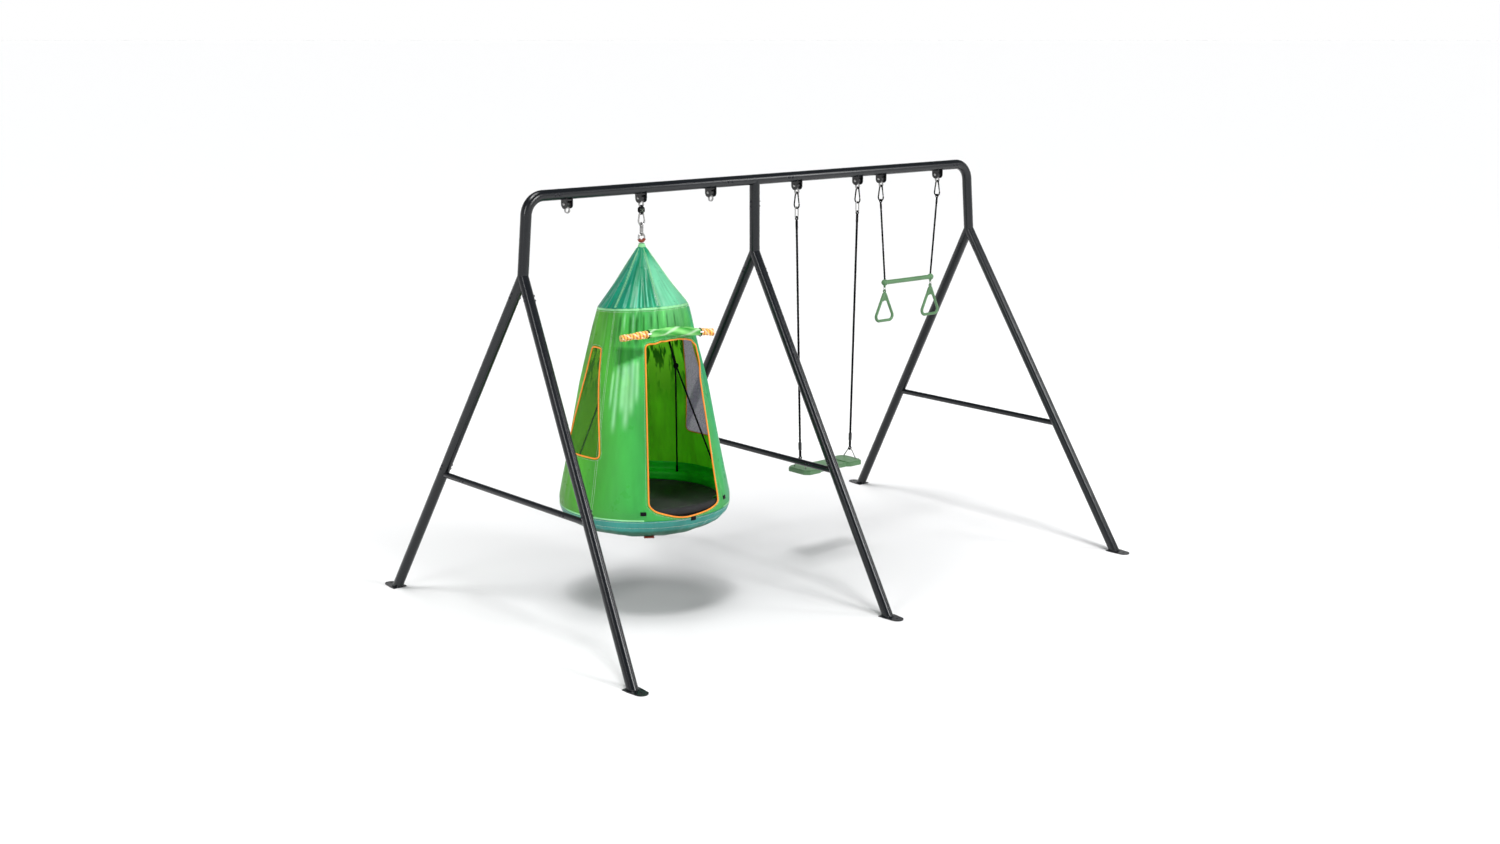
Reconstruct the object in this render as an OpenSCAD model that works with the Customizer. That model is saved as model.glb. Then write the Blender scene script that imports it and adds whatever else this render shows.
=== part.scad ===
/* [Frame] */
// Height of the beam's axis above the ground
beam_h = 2200; // [2000:10:2400]
// Distance from the centre to each beam corner
end_x = 1570; // [1500:5:1700]
// Place of the middle A-frame along the beam
middle_x = -97; // [-150:1:50]
// Outward lean of the two end frames in degrees
splay = 5.15; // [3:0.05:7]
// Height at which each pair of legs meets
apex_h = 1810; // [1750:5:1850]
// Distance of each leg's foot from the beam's plane
leg_half = 1066; // [950:2:1150]
// Height of the crossbars
crossbar_h = 704; // [600:2:800]
// Outer radius of the main tubes
tube_r = 28; // [26:0.5:29]
// Outer radius of the crossbars
bar_r = 16; // [14:0.5:17]
// Radius of the beam corners, at the tube's axis
corner_r = 100; // [90:2:104]

/* [Tube joints] */
// Distance of the end seams from the beam corners
end_seam = 142; // [135:1:160]
// Distance of the middle tee's seams from the middle post
tee_half = 216; // [180:2:240]
// Height of the seam below the middle tee
post_seam_h = 2093; // [2060:1:2110]
// Length of each fork stub along the leg
fork_stub = 93; // [90:1:120]
// Height of the seam between upper and lower legs
leg_seam_h = 766; // [762:1:900]
// Distance of the crossbar seams from the leg's axis
bar_seam = 178; // [150:2:220]

/* [Feet] */
// Thickness of the foot plates
plate_t = 5; // [4:0.5:8]
// Width of the foot plates
plate_w = 80; // [76:2:90]
// Distance of the anchor hole beyond the leg's axis
anchor_reach = 66; // [60:1:80]
// Radius of the anchor hole
anchor_r = 6; // [5:0.5:7]

/* [Hangers] */
// Distance from the middle post to the nearest hangers
post_gap = 307; // [290:1:320]
// Distance between the hangers of one swing
pair_gap = 464; // [460:1:470]
// Distance between the board swing and the trapeze
swing_gap = 186; // [180:1:190]
// Distance of the hinge axis below the beam's axis
hinge_drop = 50; // [49:0.5:52]

/* [Pod] */
// Radius of the saucer ring, at the tube's axis
ring_r = 422; // [418:1:422]
// Height of the saucer ring
ring_h = 585; // [580:1:590]
// Turn of the pod on its swivel: where the door faces, in degrees
door_turn = 265; // [262:1:268]
// Height of the roof's peak
peak_h = 1910; // [1905:1:1915]
// Height of the roof's eave
eave_h = 1600; // [1590:2:1620]
// Outer radius at the eave
eave_r = 232; // [228:1:240]
// Outer radius at the saucer ring
wall_r = 452; // [452:1:456]

/* [Board swing and trapeze] */
// Length of the seat board
seat_l = 450; // [430:5:460]
// Width of the seat board
seat_w = 180; // [160:5:190]
// Height of the seat's top
seat_h = 546; // [540:1:550]
// Distance between the two ropes at the seat
seat_rope_gap = 390; // [380:2:400]
// Height of the trapeze bar's axis
trapeze_h = 1548; // [1500:2:1600]
// Distance between the trapeze bar's ball ends
trapeze_l = 380; // [370:2:400]

/* [Hidden] */
$fn = 48;

charcoal = [0.17, 0.18, 0.2];
black = [0.05, 0.05, 0.06];
steel = [0.75, 0.76, 0.78];
nylon = [0.9, 0.9, 0.88];
green_plastic = [0.36, 0.6, 0.4];
roof_green = [0.1, 0.6, 0.42];
wall_green = [0.25, 0.72, 0.27];
base_teal = [0.22, 0.6, 0.55];
skirt_green = [0.06, 0.4, 0.15];
mesh_grey = [0.6, 0.62, 0.6];
brown = [0.45, 0.2, 0.12];

// ---- frame geometry ----
wall_t = 2;
bore_r = tube_r - wall_t;
slip = 0.2;
insert_r = bore_r - slip;
insert_l = 50;
bolt_steps = [11, 37];
bolt_r = 4;
small_bolt_r = 3;
hole_gap = 0.3;
bar_bore_r = bar_r - wall_t;
bar_insert_r = bar_bore_r - slip;
past = 1;

// Lean of an A-frame: side is -1 for the left one, 0 for the middle one, 1 for the right one
function lean(side) = abs(side) * splay;
function drop(side, z) = (beam_h - z) / cos(lean(side));
function leg_tilt(side) = atan(leg_half / (drop(side, 0) - drop(side, apex_h)));
function run(side, z) = (drop(side, z) - drop(side, apex_h)) / cos(leg_tilt(side));
function foot_x(side) = side == 0 ? middle_x : side * (end_x + beam_h * tan(splay));
bar_half = leg_half * (apex_h - crossbar_h) / apex_h;
bar_end = bar_half - bar_seam;

// Places children in the plane of one A-frame, with z = 0 on the beam's axis
module in_frame(side) {
    translate([side == 0 ? middle_x : side * end_x, 0, beam_h])
        rotate([0, -side * splay, 0])
            children();
}

// Places children at a leg's top with +z running down the leg: face is -1 in front, 1 behind
module on_leg(side, face) {
    in_frame(side)
        translate([0, 0, -drop(side, apex_h)])
            rotate([180 + face * leg_tilt(side), 0, 0])
                children();
}

module at_crossbar(side) {
    in_frame(side) translate([0, 0, -drop(side, crossbar_h)]) children();
}

// A cylinder along z between two heights
module rod(r, from, to) {
    translate([0, 0, from]) cylinder(r = r, h = to - from);
}

module x_rod(r, from, to) {
    rotate([0, 90, 0]) rod(r, from, to);
}

module y_rod(r, from, to) {
    rotate([-90, 0, 0]) rod(r, from, to);
}

// A cylinder between two points
module strut(a, b, r) {
    d = b - a;
    translate(a)
        rotate([0, acos(d[2] / norm(d)), atan2(d[1], d[0])])
            cylinder(r = r, h = norm(d));
}

// The straight part of a bent wire: it runs a little way into the bends at its ends
module straight(a, b, wire, over_a, over_b) {
    along = (b - a) / norm(b - a);
    strut(a - over_a * wire / 6 * along, b + over_b * wire / 6 * along, 0.97 * wire);
}

// The reduced end of a tube, made to slip into the next one
module insert_solid(seam) {
    rod(insert_r, seam - 12, seam + insert_l);
    rod(bore_r + wall_t / 2, seam - 12, seam);
}

module insert_bore(seam) {
    rod(insert_r - wall_t, seam - 12 - past, seam + insert_l + past);
}

// Pairs of bolt holes across a tube, past a seam
module bolt_holes(seam) {
    for (d = bolt_steps)
        translate([0, 0, seam + d]) x_rod(bolt_r + hole_gap, -tube_r - past, tube_r + past);
}

// Straight tube along z with a reduced lower end
module swaged_tube(from, seam) {
    difference() {
        union() {
            rod(tube_r, from, seam);
            insert_solid(seam);
        }
        rod(bore_r, from - past, seam - 12);
        insert_bore(seam);
        bolt_holes(from);
        bolt_holes(seam);
    }
}

// Beam tube along x: the reduced end is at its +x end
module beam_tube(from, to) {
    translate([0, 0, beam_h])
        rotate([0, 90, 0])
            rotate([0, 0, 90])
                swaged_tube(from, to);
}

corner_tangent = corner_r * tan((90 - splay) / 2);
tee_left = middle_x - tee_half;
tee_right = middle_x + tee_half;
end_seam_x = end_x - end_seam;

module corner_bend(r) {
    translate([end_x - corner_tangent, 0, beam_h - corner_r])
        rotate([90, 0, 0])
            rotate([0, 0, splay])
                rotate_extrude(angle = 90 - splay)
                    translate([corner_r, 0]) circle(r = r);
}

module fork_solid(side) {
    in_frame(side) translate([0, 0, -drop(side, apex_h)]) sphere(r = tube_r + 0.3);
    for (face = [-1, 1])
        on_leg(side, face) {
            rod(tube_r, 0, fork_stub);
            insert_solid(fork_stub);
        }
}

module fork_bore(side) {
    in_frame(side) translate([0, 0, -drop(side, apex_h)]) sphere(r = bore_r + 0.3);
    for (face = [-1, 1])
        on_leg(side, face) {
            rod(bore_r, 0, fork_stub - 12);
            insert_bore(fork_stub);
            bolt_holes(fork_stub);
        }
}

// Beam end, corner bend, post and fork of the right end, without its seam
module end_solid() {
    translate([0, 0, beam_h]) x_rod(tube_r, end_seam_x, end_x - corner_tangent + past);
    corner_bend(tube_r + 0.1);
    in_frame(1) rod(tube_r, -drop(1, apex_h), past - corner_tangent);
    fork_solid(1);
}

module end_bore() {
    corner_bend(bore_r + 0.1);
    in_frame(1) rod(bore_r, -drop(1, apex_h), past - corner_tangent);
    fork_bore(1);
}

module right_end_piece() color(charcoal)
    difference() {
        end_solid();
        translate([0, 0, beam_h]) x_rod(bore_r, end_seam_x - past, end_x - corner_tangent + past);
        end_bore();
        translate([0, 0, beam_h]) rotate([0, 90, 0]) rotate([0, 0, 90]) bolt_holes(end_seam_x);
    }

module left_end_piece() color(charcoal)
    mirror([1, 0, 0])
        difference() {
            union() {
                end_solid();
                translate([0, 0, beam_h]) rotate([0, -90, 0]) insert_solid(-end_seam_x);
            }
            translate([0, 0, beam_h]) x_rod(bore_r, end_seam_x + 12, end_x - corner_tangent + past);
            end_bore();
            translate([0, 0, beam_h]) rotate([0, -90, 0]) {
                insert_bore(-end_seam_x);
                rotate([0, 0, 90]) bolt_holes(-end_seam_x);
            }
        }

module left_beam_tube() color(charcoal) beam_tube(-end_seam_x, tee_left);

module right_beam_tube() color(charcoal) beam_tube(tee_right, end_seam_x);

module middle_tee() color(charcoal)
    difference() {
        union() {
            translate([0, 0, beam_h]) rotate([0, 90, 0]) {
                rod(tube_r, tee_left, tee_right);
                insert_solid(tee_right);
            }
            translate([middle_x, 0, 0]) rod(tube_r, post_seam_h, beam_h);
            translate([middle_x, 0, 0]) rod(insert_r, post_seam_h - insert_l, post_seam_h + 12);
        }
        translate([0, 0, beam_h]) rotate([0, 90, 0]) {
            rod(bore_r, tee_left - past, tee_right - 12);
            insert_bore(tee_right);
            rotate([0, 0, 90]) {
                bolt_holes(tee_left);
                bolt_holes(tee_right);
            }
        }
        translate([middle_x, 0, 0])
            rod(insert_r - wall_t, post_seam_h - insert_l - past, beam_h);
        translate([middle_x, 0, post_seam_h]) rotate([180, 0, 0]) bolt_holes(0);
    }

module middle_fork() color(charcoal)
    difference() {
        union() {
            translate([middle_x, 0, 0]) rod(tube_r, apex_h, post_seam_h);
            fork_solid(0);
        }
        translate([middle_x, 0, 0]) rod(bore_r, apex_h, post_seam_h + past);
        fork_bore(0);
        translate([middle_x, 0, post_seam_h]) rotate([180, 0, 0]) bolt_holes(0);
    }

module upper_legs(side) color(charcoal)
    for (face = [-1, 1])
        on_leg(side, face) swaged_tube(fork_stub, run(side, leg_seam_h));

// Outline of a foot plate, with +y pointing away from the swing
module plate_outline() {
    tip_r = 34;
    back = 32;
    half = plate_w / 2;
    shoulder = 10;
    reach = anchor_reach - shoulder;
    tangent = atan2(-reach, half) + acos(tip_r / norm([half, reach]));
    side_point = [tip_r * cos(tangent), anchor_reach + tip_r * sin(tangent)];
    difference() {
        union() {
            polygon([
                [-half, -back], [half, -back], [half, shoulder], side_point,
                [-side_point[0], side_point[1]], [-half, shoulder]
            ]);
            translate([0, anchor_reach]) circle(r = tip_r);
        }
        translate([0, anchor_reach]) circle(r = anchor_r);
    }
}

module lower_leg(side, face) color(charcoal) {
    top = run(side, leg_seam_h);
    low = run(side, 0) + 2 * tube_r;
    difference() {
        union() {
            on_leg(side, face) rod(tube_r, top, low);
            at_crossbar(side) mirror([0, face < 0 ? 1 : 0, 0]) {
                y_rod(bar_r, bar_end, bar_half);
                y_rod(bar_insert_r, bar_end - insert_l, bar_end + 12);
            }
        }
        on_leg(side, face) {
            rod(bore_r, top - past, low + past);
            bolt_holes(top);
        }
        at_crossbar(side) mirror([0, face < 0 ? 1 : 0, 0]) {
            y_rod(bar_insert_r - wall_t, bar_end - insert_l - past, bar_half);
            bar_bolt_holes();
        }
        translate([foot_x(side) - leg_half, face * leg_half - leg_half, plate_t - 200])
            cube([2 * leg_half, 2 * leg_half, 200]);
    }
    translate([foot_x(side), face * leg_half, 0])
        mirror([0, face < 0 ? 1 : 0, 0])
            linear_extrude(plate_t) plate_outline();
}

// Two holes across a crossbar, on its +y side
module bar_bolt_holes() {
    for (d = bolt_steps)
        translate([0, bar_end - d, 0])
            x_rod(small_bolt_r + hole_gap, -bar_r - past, bar_r + past);
}

module crossbars() color(charcoal)
    for (side = [-1, 0, 1])
        at_crossbar(side)
            difference() {
                y_rod(bar_r, -bar_end, bar_end);
                y_rod(bar_bore_r, -bar_end - past, bar_end + past);
                bar_bolt_holes();
                mirror([0, 1, 0]) bar_bolt_holes();
            }

// Every bolt that crosses a main tube, with its head towards local -x
module at_main_bolts() {
    for (seam = [-end_seam_x, tee_left, tee_right, end_seam_x])
        for (d = bolt_steps)
            translate([seam + d, 0, beam_h]) rotate([0, 0, 90]) children();
    for (d = bolt_steps)
        translate([middle_x, 0, post_seam_h - d]) children();
    for (side = [-1, 0, 1])
        for (face = [-1, 1])
            for (seam = [fork_stub, run(side, leg_seam_h)])
                for (d = bolt_steps)
                    on_leg(side, face) translate([0, 0, seam + d]) children();
}

module at_bar_bolts() {
    for (side = [-1, 0, 1])
        for (face = [-1, 1])
            for (d = bolt_steps)
                at_crossbar(side) translate([0, face * (bar_end - d), 0]) children();
}

module bolt(tube, shaft) {
    x_rod(shaft, -tube - 0.5, tube + 5);
    translate([-tube - 0.1, 0, 0])
        rotate([0, -90, 0])
            cylinder(r1 = 1.8 * shaft, r2 = 1.2 * shaft, h = shaft);
}

module cap_nut(tube, shaft) {
    translate([tube + 0.1, 0, 0])
        difference() {
            union() {
                rotate([0, 90, 0]) cylinder(r = 1.85 * shaft, h = 6, $fn = 6);
                translate([6, 0, 0]) sphere(r = 1.3 * shaft);
            }
            x_rod(shaft + 0.1, -past, 5.2);
        }
}

module frame_bolts() color(black) {
    at_main_bolts() bolt(tube_r, bolt_r);
    at_bar_bolts() bolt(bar_r, small_bolt_r);
}

module frame_nuts() color(black) {
    at_main_bolts() cap_nut(tube_r, bolt_r);
    at_bar_bolts() cap_nut(bar_r, small_bolt_r);
}

// ---- hangers ----
hinge_h = beam_h - hinge_drop;
cheek_r = 24;
cheek_t = 5;
cheek_in = 15;
pivot_r = 4;
bushing_r = 9;
barrel_r = 14;
barrel_half = 14;
eye_drop = 32;
eye_r = 16;
eye_hole_r = 10;
eye_half = 4;
eye_floor = hinge_h - eye_drop - eye_hole_r;
post_side = middle_x - post_gap;
swing_x = [middle_x + post_gap, middle_x + post_gap + pair_gap];
trapeze_x = [swing_x[1] + swing_gap, swing_x[1] + swing_gap + pair_gap];
pod_x = post_side - pair_gap;
spare_x = [post_side - 2 * pair_gap, post_side];
hanger_x = [spare_x[0], pod_x, spare_x[1], swing_x[0], swing_x[1], trapeze_x[0], trapeze_x[1]];

module at_hanger(x) {
    translate([x, 0, hinge_h]) children();
}

module hanger_brackets() color(black)
    for (x = hanger_x)
        at_hanger(x)
            for (s = [0, 1])
                mirror([s, 0, 0])
                    difference() {
                        union() {
                            x_rod(cheek_r, cheek_in, cheek_in + cheek_t);
                            translate([cheek_in, -cheek_r, 0])
                                cube([cheek_t, 2 * cheek_r, hinge_drop]);
                        }
                        translate([0, 0, hinge_drop]) x_rod(tube_r, 0, 2 * cheek_in);
                        x_rod(pivot_r + 0.05, 0, 2 * cheek_in);
                    }

module pivot_bolts() color(steel)
    for (x = hanger_x)
        at_hanger(x) {
            outer = cheek_in + cheek_t + 0.1;
            x_rod(pivot_r, -outer - 0.5, outer + 4);
            translate([-outer, 0, 0]) rotate([0, -90, 0]) cylinder(r1 = 8, r2 = 5, h = 4);
            difference() {
                union() {
                    x_rod(8, outer, outer + 1.5);
                    rotate([0, 90, 0])
                        translate([0, 0, outer + 1.5]) cylinder(r = 7.5, h = 5.5, $fn = 6);
                }
                x_rod(pivot_r - 0.5, outer - past, outer + 4);
            }
        }

module pivot_bushings() color(nylon)
    for (x = hanger_x)
        at_hanger(x)
            difference() {
                x_rod(bushing_r, -cheek_in + 0.2, cheek_in - 0.2);
                x_rod(pivot_r + 0.05, -cheek_in, cheek_in);
            }

// Swinging eye: a barrel round the bushing and a ring below it, faced along y
module eye() color(steel)
    difference() {
        union() {
            x_rod(barrel_r, -barrel_half, barrel_half);
            translate([0, 0, -eye_drop]) y_rod(eye_r, -eye_half, eye_half);
            translate([-6, -eye_half, 3 - eye_drop + eye_hole_r])
                cube([12, 2 * eye_half, 12]);
        }
        x_rod(bushing_r + 0.08, -cheek_in, cheek_in);
        translate([0, 0, -eye_drop]) y_rod(eye_hole_r, -eye_half - past, eye_half + past);
    }

// ---- carabiners ----
// Both loops lie in the xz plane with the outer top at z = 0 and the gate on the +x side
gate_clear = 0.5;

// Corner circles of a loop: radius and depth of the top and the bottom arcs
function loop_beta(w_top, w_bottom, depth) = asin((w_bottom - w_top) / depth);

module arc(radius, wire, from, to) {
    rotate([90, 0, 0])
        rotate([0, 0, from])
            rotate_extrude(angle = to - from)
                translate([radius, 0]) circle(r = wire);
}

// Point on the loop's straight +x side: t is 0 at the top and 1 at the bottom
function side_point(w_top, w_bottom, depth, wire, t) =
    let (
        beta = loop_beta(w_top, w_bottom, depth),
        n = [cos(beta), 0, sin(beta)],
        top = [0, 0, -wire - w_top] + w_top * n,
        bottom = [0, 0, -wire - w_top - depth] + w_bottom * n
    )
    top + t * (bottom - top);

function flip(p) = [-p[0], p[1], p[2]];

module loop(w_top, w_bottom, depth, wire, gate_from, gate_to) {
    beta = loop_beta(w_top, w_bottom, depth);
    start = side_point(w_top, w_bottom, depth, wire, 0);
    end = side_point(w_top, w_bottom, depth, wire, 1);
    translate([0, 0, -wire - w_top]) arc(w_top, wire, beta, 180 - beta);
    translate([0, 0, -wire - w_top - depth]) arc(w_bottom, wire, 180 - beta, 360 + beta);
    straight(flip(start), flip(end), wire, 1, 1);
    if (gate_to > gate_from) {
        straight(start, side_point(w_top, w_bottom, depth, wire, gate_from), wire, 1, 0);
        straight(side_point(w_top, w_bottom, depth, wire, gate_to), end, wire, 0, 1);
    } else {
        straight(start, end, wire, 1, 1);
    }
}

// The sprung gate: its hinge is the ball at its lower end
module gate(w_top, w_bottom, depth, wire, gate_from, gate_to) {
    start = side_point(w_top, w_bottom, depth, wire, gate_from);
    end = side_point(w_top, w_bottom, depth, wire, gate_to);
    along = (end - start) / norm(end - start);
    hinge = end - (wire + gate_clear) * along;
    strut(start + gate_clear * along, hinge, wire - 0.5);
    translate(hinge) sphere(r = wire - 0.5);
}

// Pear-shaped carabiner of the two swings
pear = [10, 20, 59, 4];
pear_gate = [0.34, 0.93];
pear_top = eye_floor + 2 * pear[3] + 1.8;
pear_l = 2 * pear[3] + pear[0] + pear[1] + pear[2];
pear_bottom = pear_top - pear_l;

module pear_carabiner() {
    loop(pear[0], pear[1], pear[2], pear[3], pear_gate[0], pear_gate[1]);
}

module at_pear(x) {
    translate([x, 0, pear_top]) rotate([0, 0, -90]) children();
}

module pear_gate_at(x) color(black)
    at_pear(x) gate(pear[0], pear[1], pear[2], pear[3], pear_gate[0], pear_gate[1]);

// ---- pod suspension ----
strap_t = 3;
strap_top = eye_floor + strap_t + 4.1;
strap_bottom = 2064;
strap_in_r = 5.5;
strap_w = 12;
strap_wide = 34;
clip = [14, 19, 27, 4.5];
clip_gate = [0.05, 0.92];
clip_top = strap_bottom + strap_t + 2 * clip[3] + 2.3;
clip_l = 2 * clip[3] + clip[0] + clip[1] + clip[2];
clip_bottom = clip_top - clip_l;
swivel_wire = 4;
swivel_eye_r = 11;
swivel_top_h = clip_bottom + 2 * clip[3] + 2 * swivel_wire + 0.2;
swivel_mid_h = swivel_top_h - 2 * swivel_wire - 2 * swivel_eye_r;
swivel_barrel_r = 10;
swivel_barrel_l = 13;
swivel_low_h = swivel_mid_h - swivel_barrel_l;
pod_ring_wire = 4.5;
pod_ring_r = 19;
pod_ring_top = swivel_low_h - 2 * swivel_eye_r + 2 * pod_ring_wire + 0.2;
pod_ring_h = pod_ring_top - pod_ring_wire - pod_ring_r;
rope_top = pod_ring_h - pod_ring_r + pod_ring_wire;

module pod_axis() {
    translate([pod_x, 0, 0]) children();
}

module strap_outline(grow) {
    top = strap_top - strap_in_r - strap_t;
    bottom = strap_bottom + strap_in_r + strap_t;
    r = strap_in_r + grow;
    translate([0, top]) circle(r = r);
    translate([0, bottom]) circle(r = r);
    translate([-r, bottom]) square([2 * r, top - bottom]);
}

module pod_strap() color(black)
    pod_axis() {
        rotate([90, 0, 90])
            translate([0, 0, -strap_w / 2])
                linear_extrude(strap_w)
                    difference() {
                        strap_outline(strap_t);
                        strap_outline(0);
                    }
        for (s = [-1, 1])
            translate([-strap_wide / 2, s * (strap_in_r + strap_t / 2) - strap_t / 2, 2078])
                cube([strap_wide, strap_t, 18]);
    }

module pod_carabiner() color(steel)
    pod_axis()
        translate([0, 0, clip_top])
            loop(clip[0], clip[1], clip[2], clip[3], clip_gate[0], clip_gate[1]);

module pod_gate() color(steel)
    pod_axis()
        translate([0, 0, clip_top])
            gate(clip[0], clip[1], clip[2], clip[3], clip_gate[0], clip_gate[1]);

module ring_yz(radius, wire) {
    rotate([0, 90, 0]) rotate_extrude() translate([radius, 0]) circle(r = wire);
}

swivel_stem_r = 4;

module swivel_top() color(steel)
    pod_axis() {
        translate([0, 0, swivel_top_h - swivel_wire - swivel_eye_r])
            ring_yz(swivel_eye_r, swivel_wire);
        rod(swivel_barrel_r, swivel_low_h + 5, swivel_mid_h + 3);
        rod(swivel_stem_r, swivel_low_h - 1.3, swivel_mid_h);
    }

module swivel_bottom() color(steel)
    pod_axis() {
        eye_h = swivel_low_h - swivel_eye_r - swivel_wire + 3;
        difference() {
            union() {
                translate([0, 0, eye_h - 3]) ring_yz(swivel_eye_r, swivel_wire);
                rod(swivel_barrel_r, swivel_low_h - 4, swivel_low_h + 4.7);
            }
            rod(swivel_stem_r + 0.1, swivel_low_h - 1.6, swivel_low_h + 5);
        }
    }

module pod_ring() color(steel)
    pod_axis()
        translate([0, 0, pod_ring_h])
            rotate([90, 0, 0])
                rotate_extrude() translate([pod_ring_r, 0]) circle(r = pod_ring_wire);

// ---- pod body ----
skin_t = 4;
main_rope_r = 6;
leg_rope_r = 5;
split_h = 1250;
split_r = 205;
leg_spread = 32;
ring_tube_r = 12.5;
pad_r = 21.5;
pad_gap = 1.6;
grip_r = ring_tube_r + 4.7;

function polar(r, turn, z) = [r * cos(turn), r * sin(turn), z];
function rope_turn(s) = door_turn + s * 90;
function rope_foot(s, k) = polar(ring_r - 6, rope_turn(s) + k * leg_spread, ring_h + 16);

module rope_legs(r) {
    for (s = [-1, 1])
        for (k = [-1, 1])
            strut(polar(split_r, rope_turn(s) + k, split_h), rope_foot(s, k), r);
}

module pod_ropes() color(black)
    pod_axis() {
        for (s = [-1, 1]) {
            start = [sign(cos(rope_turn(s))) * 7, 0, rope_top - 16];
            split = polar(split_r, rope_turn(s), split_h);
            strut(start, split, main_rope_r);
            sphere_at(start, main_rope_r + 0.3);
            sphere_at(split, main_rope_r + 5);
            // rope eyes round the saucer's ring
            for (k = [-1, 1])
                translate(polar(ring_r, rope_turn(s) + k * leg_spread, ring_h))
                    rotate([0, 0, rope_turn(s) + k * leg_spread])
                        rotate([90, 0, 0])
                            rotate_extrude() translate([grip_r, 0]) circle(r = 4.5);
        }
        rope_legs(leg_rope_r);
        // wrapped rope on the steel ring
        translate([0, 0, pod_ring_h])
            difference() {
                arc(pod_ring_r, 9, 236, 304);
                arc(pod_ring_r, pod_ring_wire + 0.2, 230, 310);
            }
    }

module sphere_at(p, r) {
    translate(p) sphere(r = r);
}

module saucer_ring() color(charcoal)
    pod_axis()
        translate([0, 0, ring_h])
            rotate_extrude() translate([ring_r, 0]) circle(r = ring_tube_r);

// Four lengths of padding, with gaps for the rope eyes
module ring_padding() color(black)
    pod_axis()
        translate([0, 0, ring_h])
            for (s = [-1, 1]) {
                rotate([0, 0, rope_turn(s)])
                    pad_length(-leg_spread + pad_gap, leg_spread - pad_gap);
                rotate([0, 0, rope_turn(s)])
                    pad_length(leg_spread + pad_gap, 180 - leg_spread - pad_gap);
            }

module pad_length(from, to) {
    rotate([0, 0, from])
        rotate_extrude(angle = to - from)
            translate([ring_r, 0])
                difference() {
                    circle(r = pad_r);
                    circle(r = ring_tube_r + 0.2);
                }
}

floor_top_h = ring_h - pad_r - 0.3;

module saucer_floor() color(black)
    pod_axis()
        rotate_extrude()
            polygon([
                [0, floor_top_h - 18], [ring_r - 90, floor_top_h - 14],
                [ring_r - 38, floor_top_h - 6], [ring_r + 8, floor_top_h - 6],
                [ring_r + 8, floor_top_h], [ring_r - 38, floor_top_h],
                [ring_r - 90, floor_top_h - 6], [0, floor_top_h - 10]
            ]);

// Outer profile of the pod: radius of the wall at a height
shoulder_h = eave_h - 45;
hip_h = 1200;
hip_r = (wall_r + eave_r + 14) / 2 - 19;
function slope_r(z) = z < hip_h
    ? wall_r + (z - ring_h - 11) * (hip_r - wall_r) / (hip_h - ring_h - 11)
    : hip_r + (z - hip_h) * (eave_r + 14 - hip_r) / (shoulder_h - hip_h);
seam_h = ring_h - 35;
skirt_top_h = ring_h + 75;

module inner_skirt() color(skirt_green)
    pod_axis()
        difference() {
            rotate([0, 0, door_turn + door_half + 1])
                rotate_extrude(angle = 358 - 2 * door_half) skirt_profile();
            rope_legs(leg_rope_r + 1.5);
        }

module skirt_profile() {
    polygon([
        [slope_r(skirt_top_h) - skin_t - 4.5, skirt_top_h],
        [slope_r(skirt_top_h) - skin_t - 1.5, skirt_top_h],
        [ring_r + pad_r - 1, ring_h + 24],
        [ring_r - pad_r - 1, ring_h + 24],
        [ring_r - pad_r - 1, floor_top_h + 0.3],
        [ring_r - pad_r - 4, floor_top_h + 0.3],
        [ring_r - pad_r - 4, ring_h + 27],
        [ring_r + pad_r - 5, ring_h + 27]
    ]);
}

base_low_h = ring_h - 198;

module base_profile(inset) {
    polygon([
        [0, base_low_h + inset],
        [150, base_low_h + 10 + inset],
        [270, base_low_h + 35 + inset],
        [350, base_low_h + 62 + inset],
        [405 - inset / 2, base_low_h + 90 + inset],
        [435 - inset, base_low_h + 122 + inset / 2],
        [wall_r - 2 - inset, seam_h - 0.2],
        [0, seam_h - 0.2]
    ]);
}

module base_cover() color(base_teal)
    pod_axis()
        rotate_extrude()
            difference() {
                base_profile(0);
                intersection() {
                    base_profile(skin_t);
                    square([wall_r, seam_h + past]);
                }
                translate([0, seam_h - 2]) square([wall_r - 2 - skin_t, 10]);
            }

// Closed cross-section of the wall, between the base seam and the eave
module wall_profile(low, high) {
    intersection() {
        polygon([
            [wall_r - 2 - skin_t, seam_h],
            [wall_r - 2, seam_h],
            [wall_r, ring_h + 11],
            [hip_r, hip_h],
            [slope_r(shoulder_h), shoulder_h],
            [eave_r, eave_h - 0.2],
            [eave_r - skin_t, eave_h - 0.2],
            [slope_r(shoulder_h) - skin_t, shoulder_h],
            [hip_r - skin_t, hip_h],
            [wall_r - skin_t, ring_h + 11]
        ]);
        translate([0, low]) square([wall_r + past, high - low]);
    }
}

// A gore of the wall between two turns, with a narrow seam at each side
module gore(from, to, low, high) {
    rotate([0, 0, from + 0.03])
        rotate_extrude(angle = to - from - 0.06)
            wall_profile(low, high);
}

door_half = 30;
door_right = 25;
door_low_h = ring_h - 18;
door_side_h = 1330;
window_half = 22.5;
window_low_h = 850;
window_high_h = 1400;

// Outline of a window seen along its radius: narrow at the top
module window_outline(grow) {
    polygon([
        [-130, window_low_h - grow], [130, window_low_h - grow],
        [150 + grow, window_low_h + 8], [151 + grow, window_low_h + 26],
        [42 + grow, window_high_h + grow], [-42 - grow, window_high_h + grow],
        [-151 - grow, window_low_h + 26], [-150 - grow, window_low_h + 8]
    ]);
}

module window_cutter(grow) {
    rotate([90, 0, 90])
        translate([0, 0, 100])
            linear_extrude(400) window_outline(grow);
}

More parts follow.
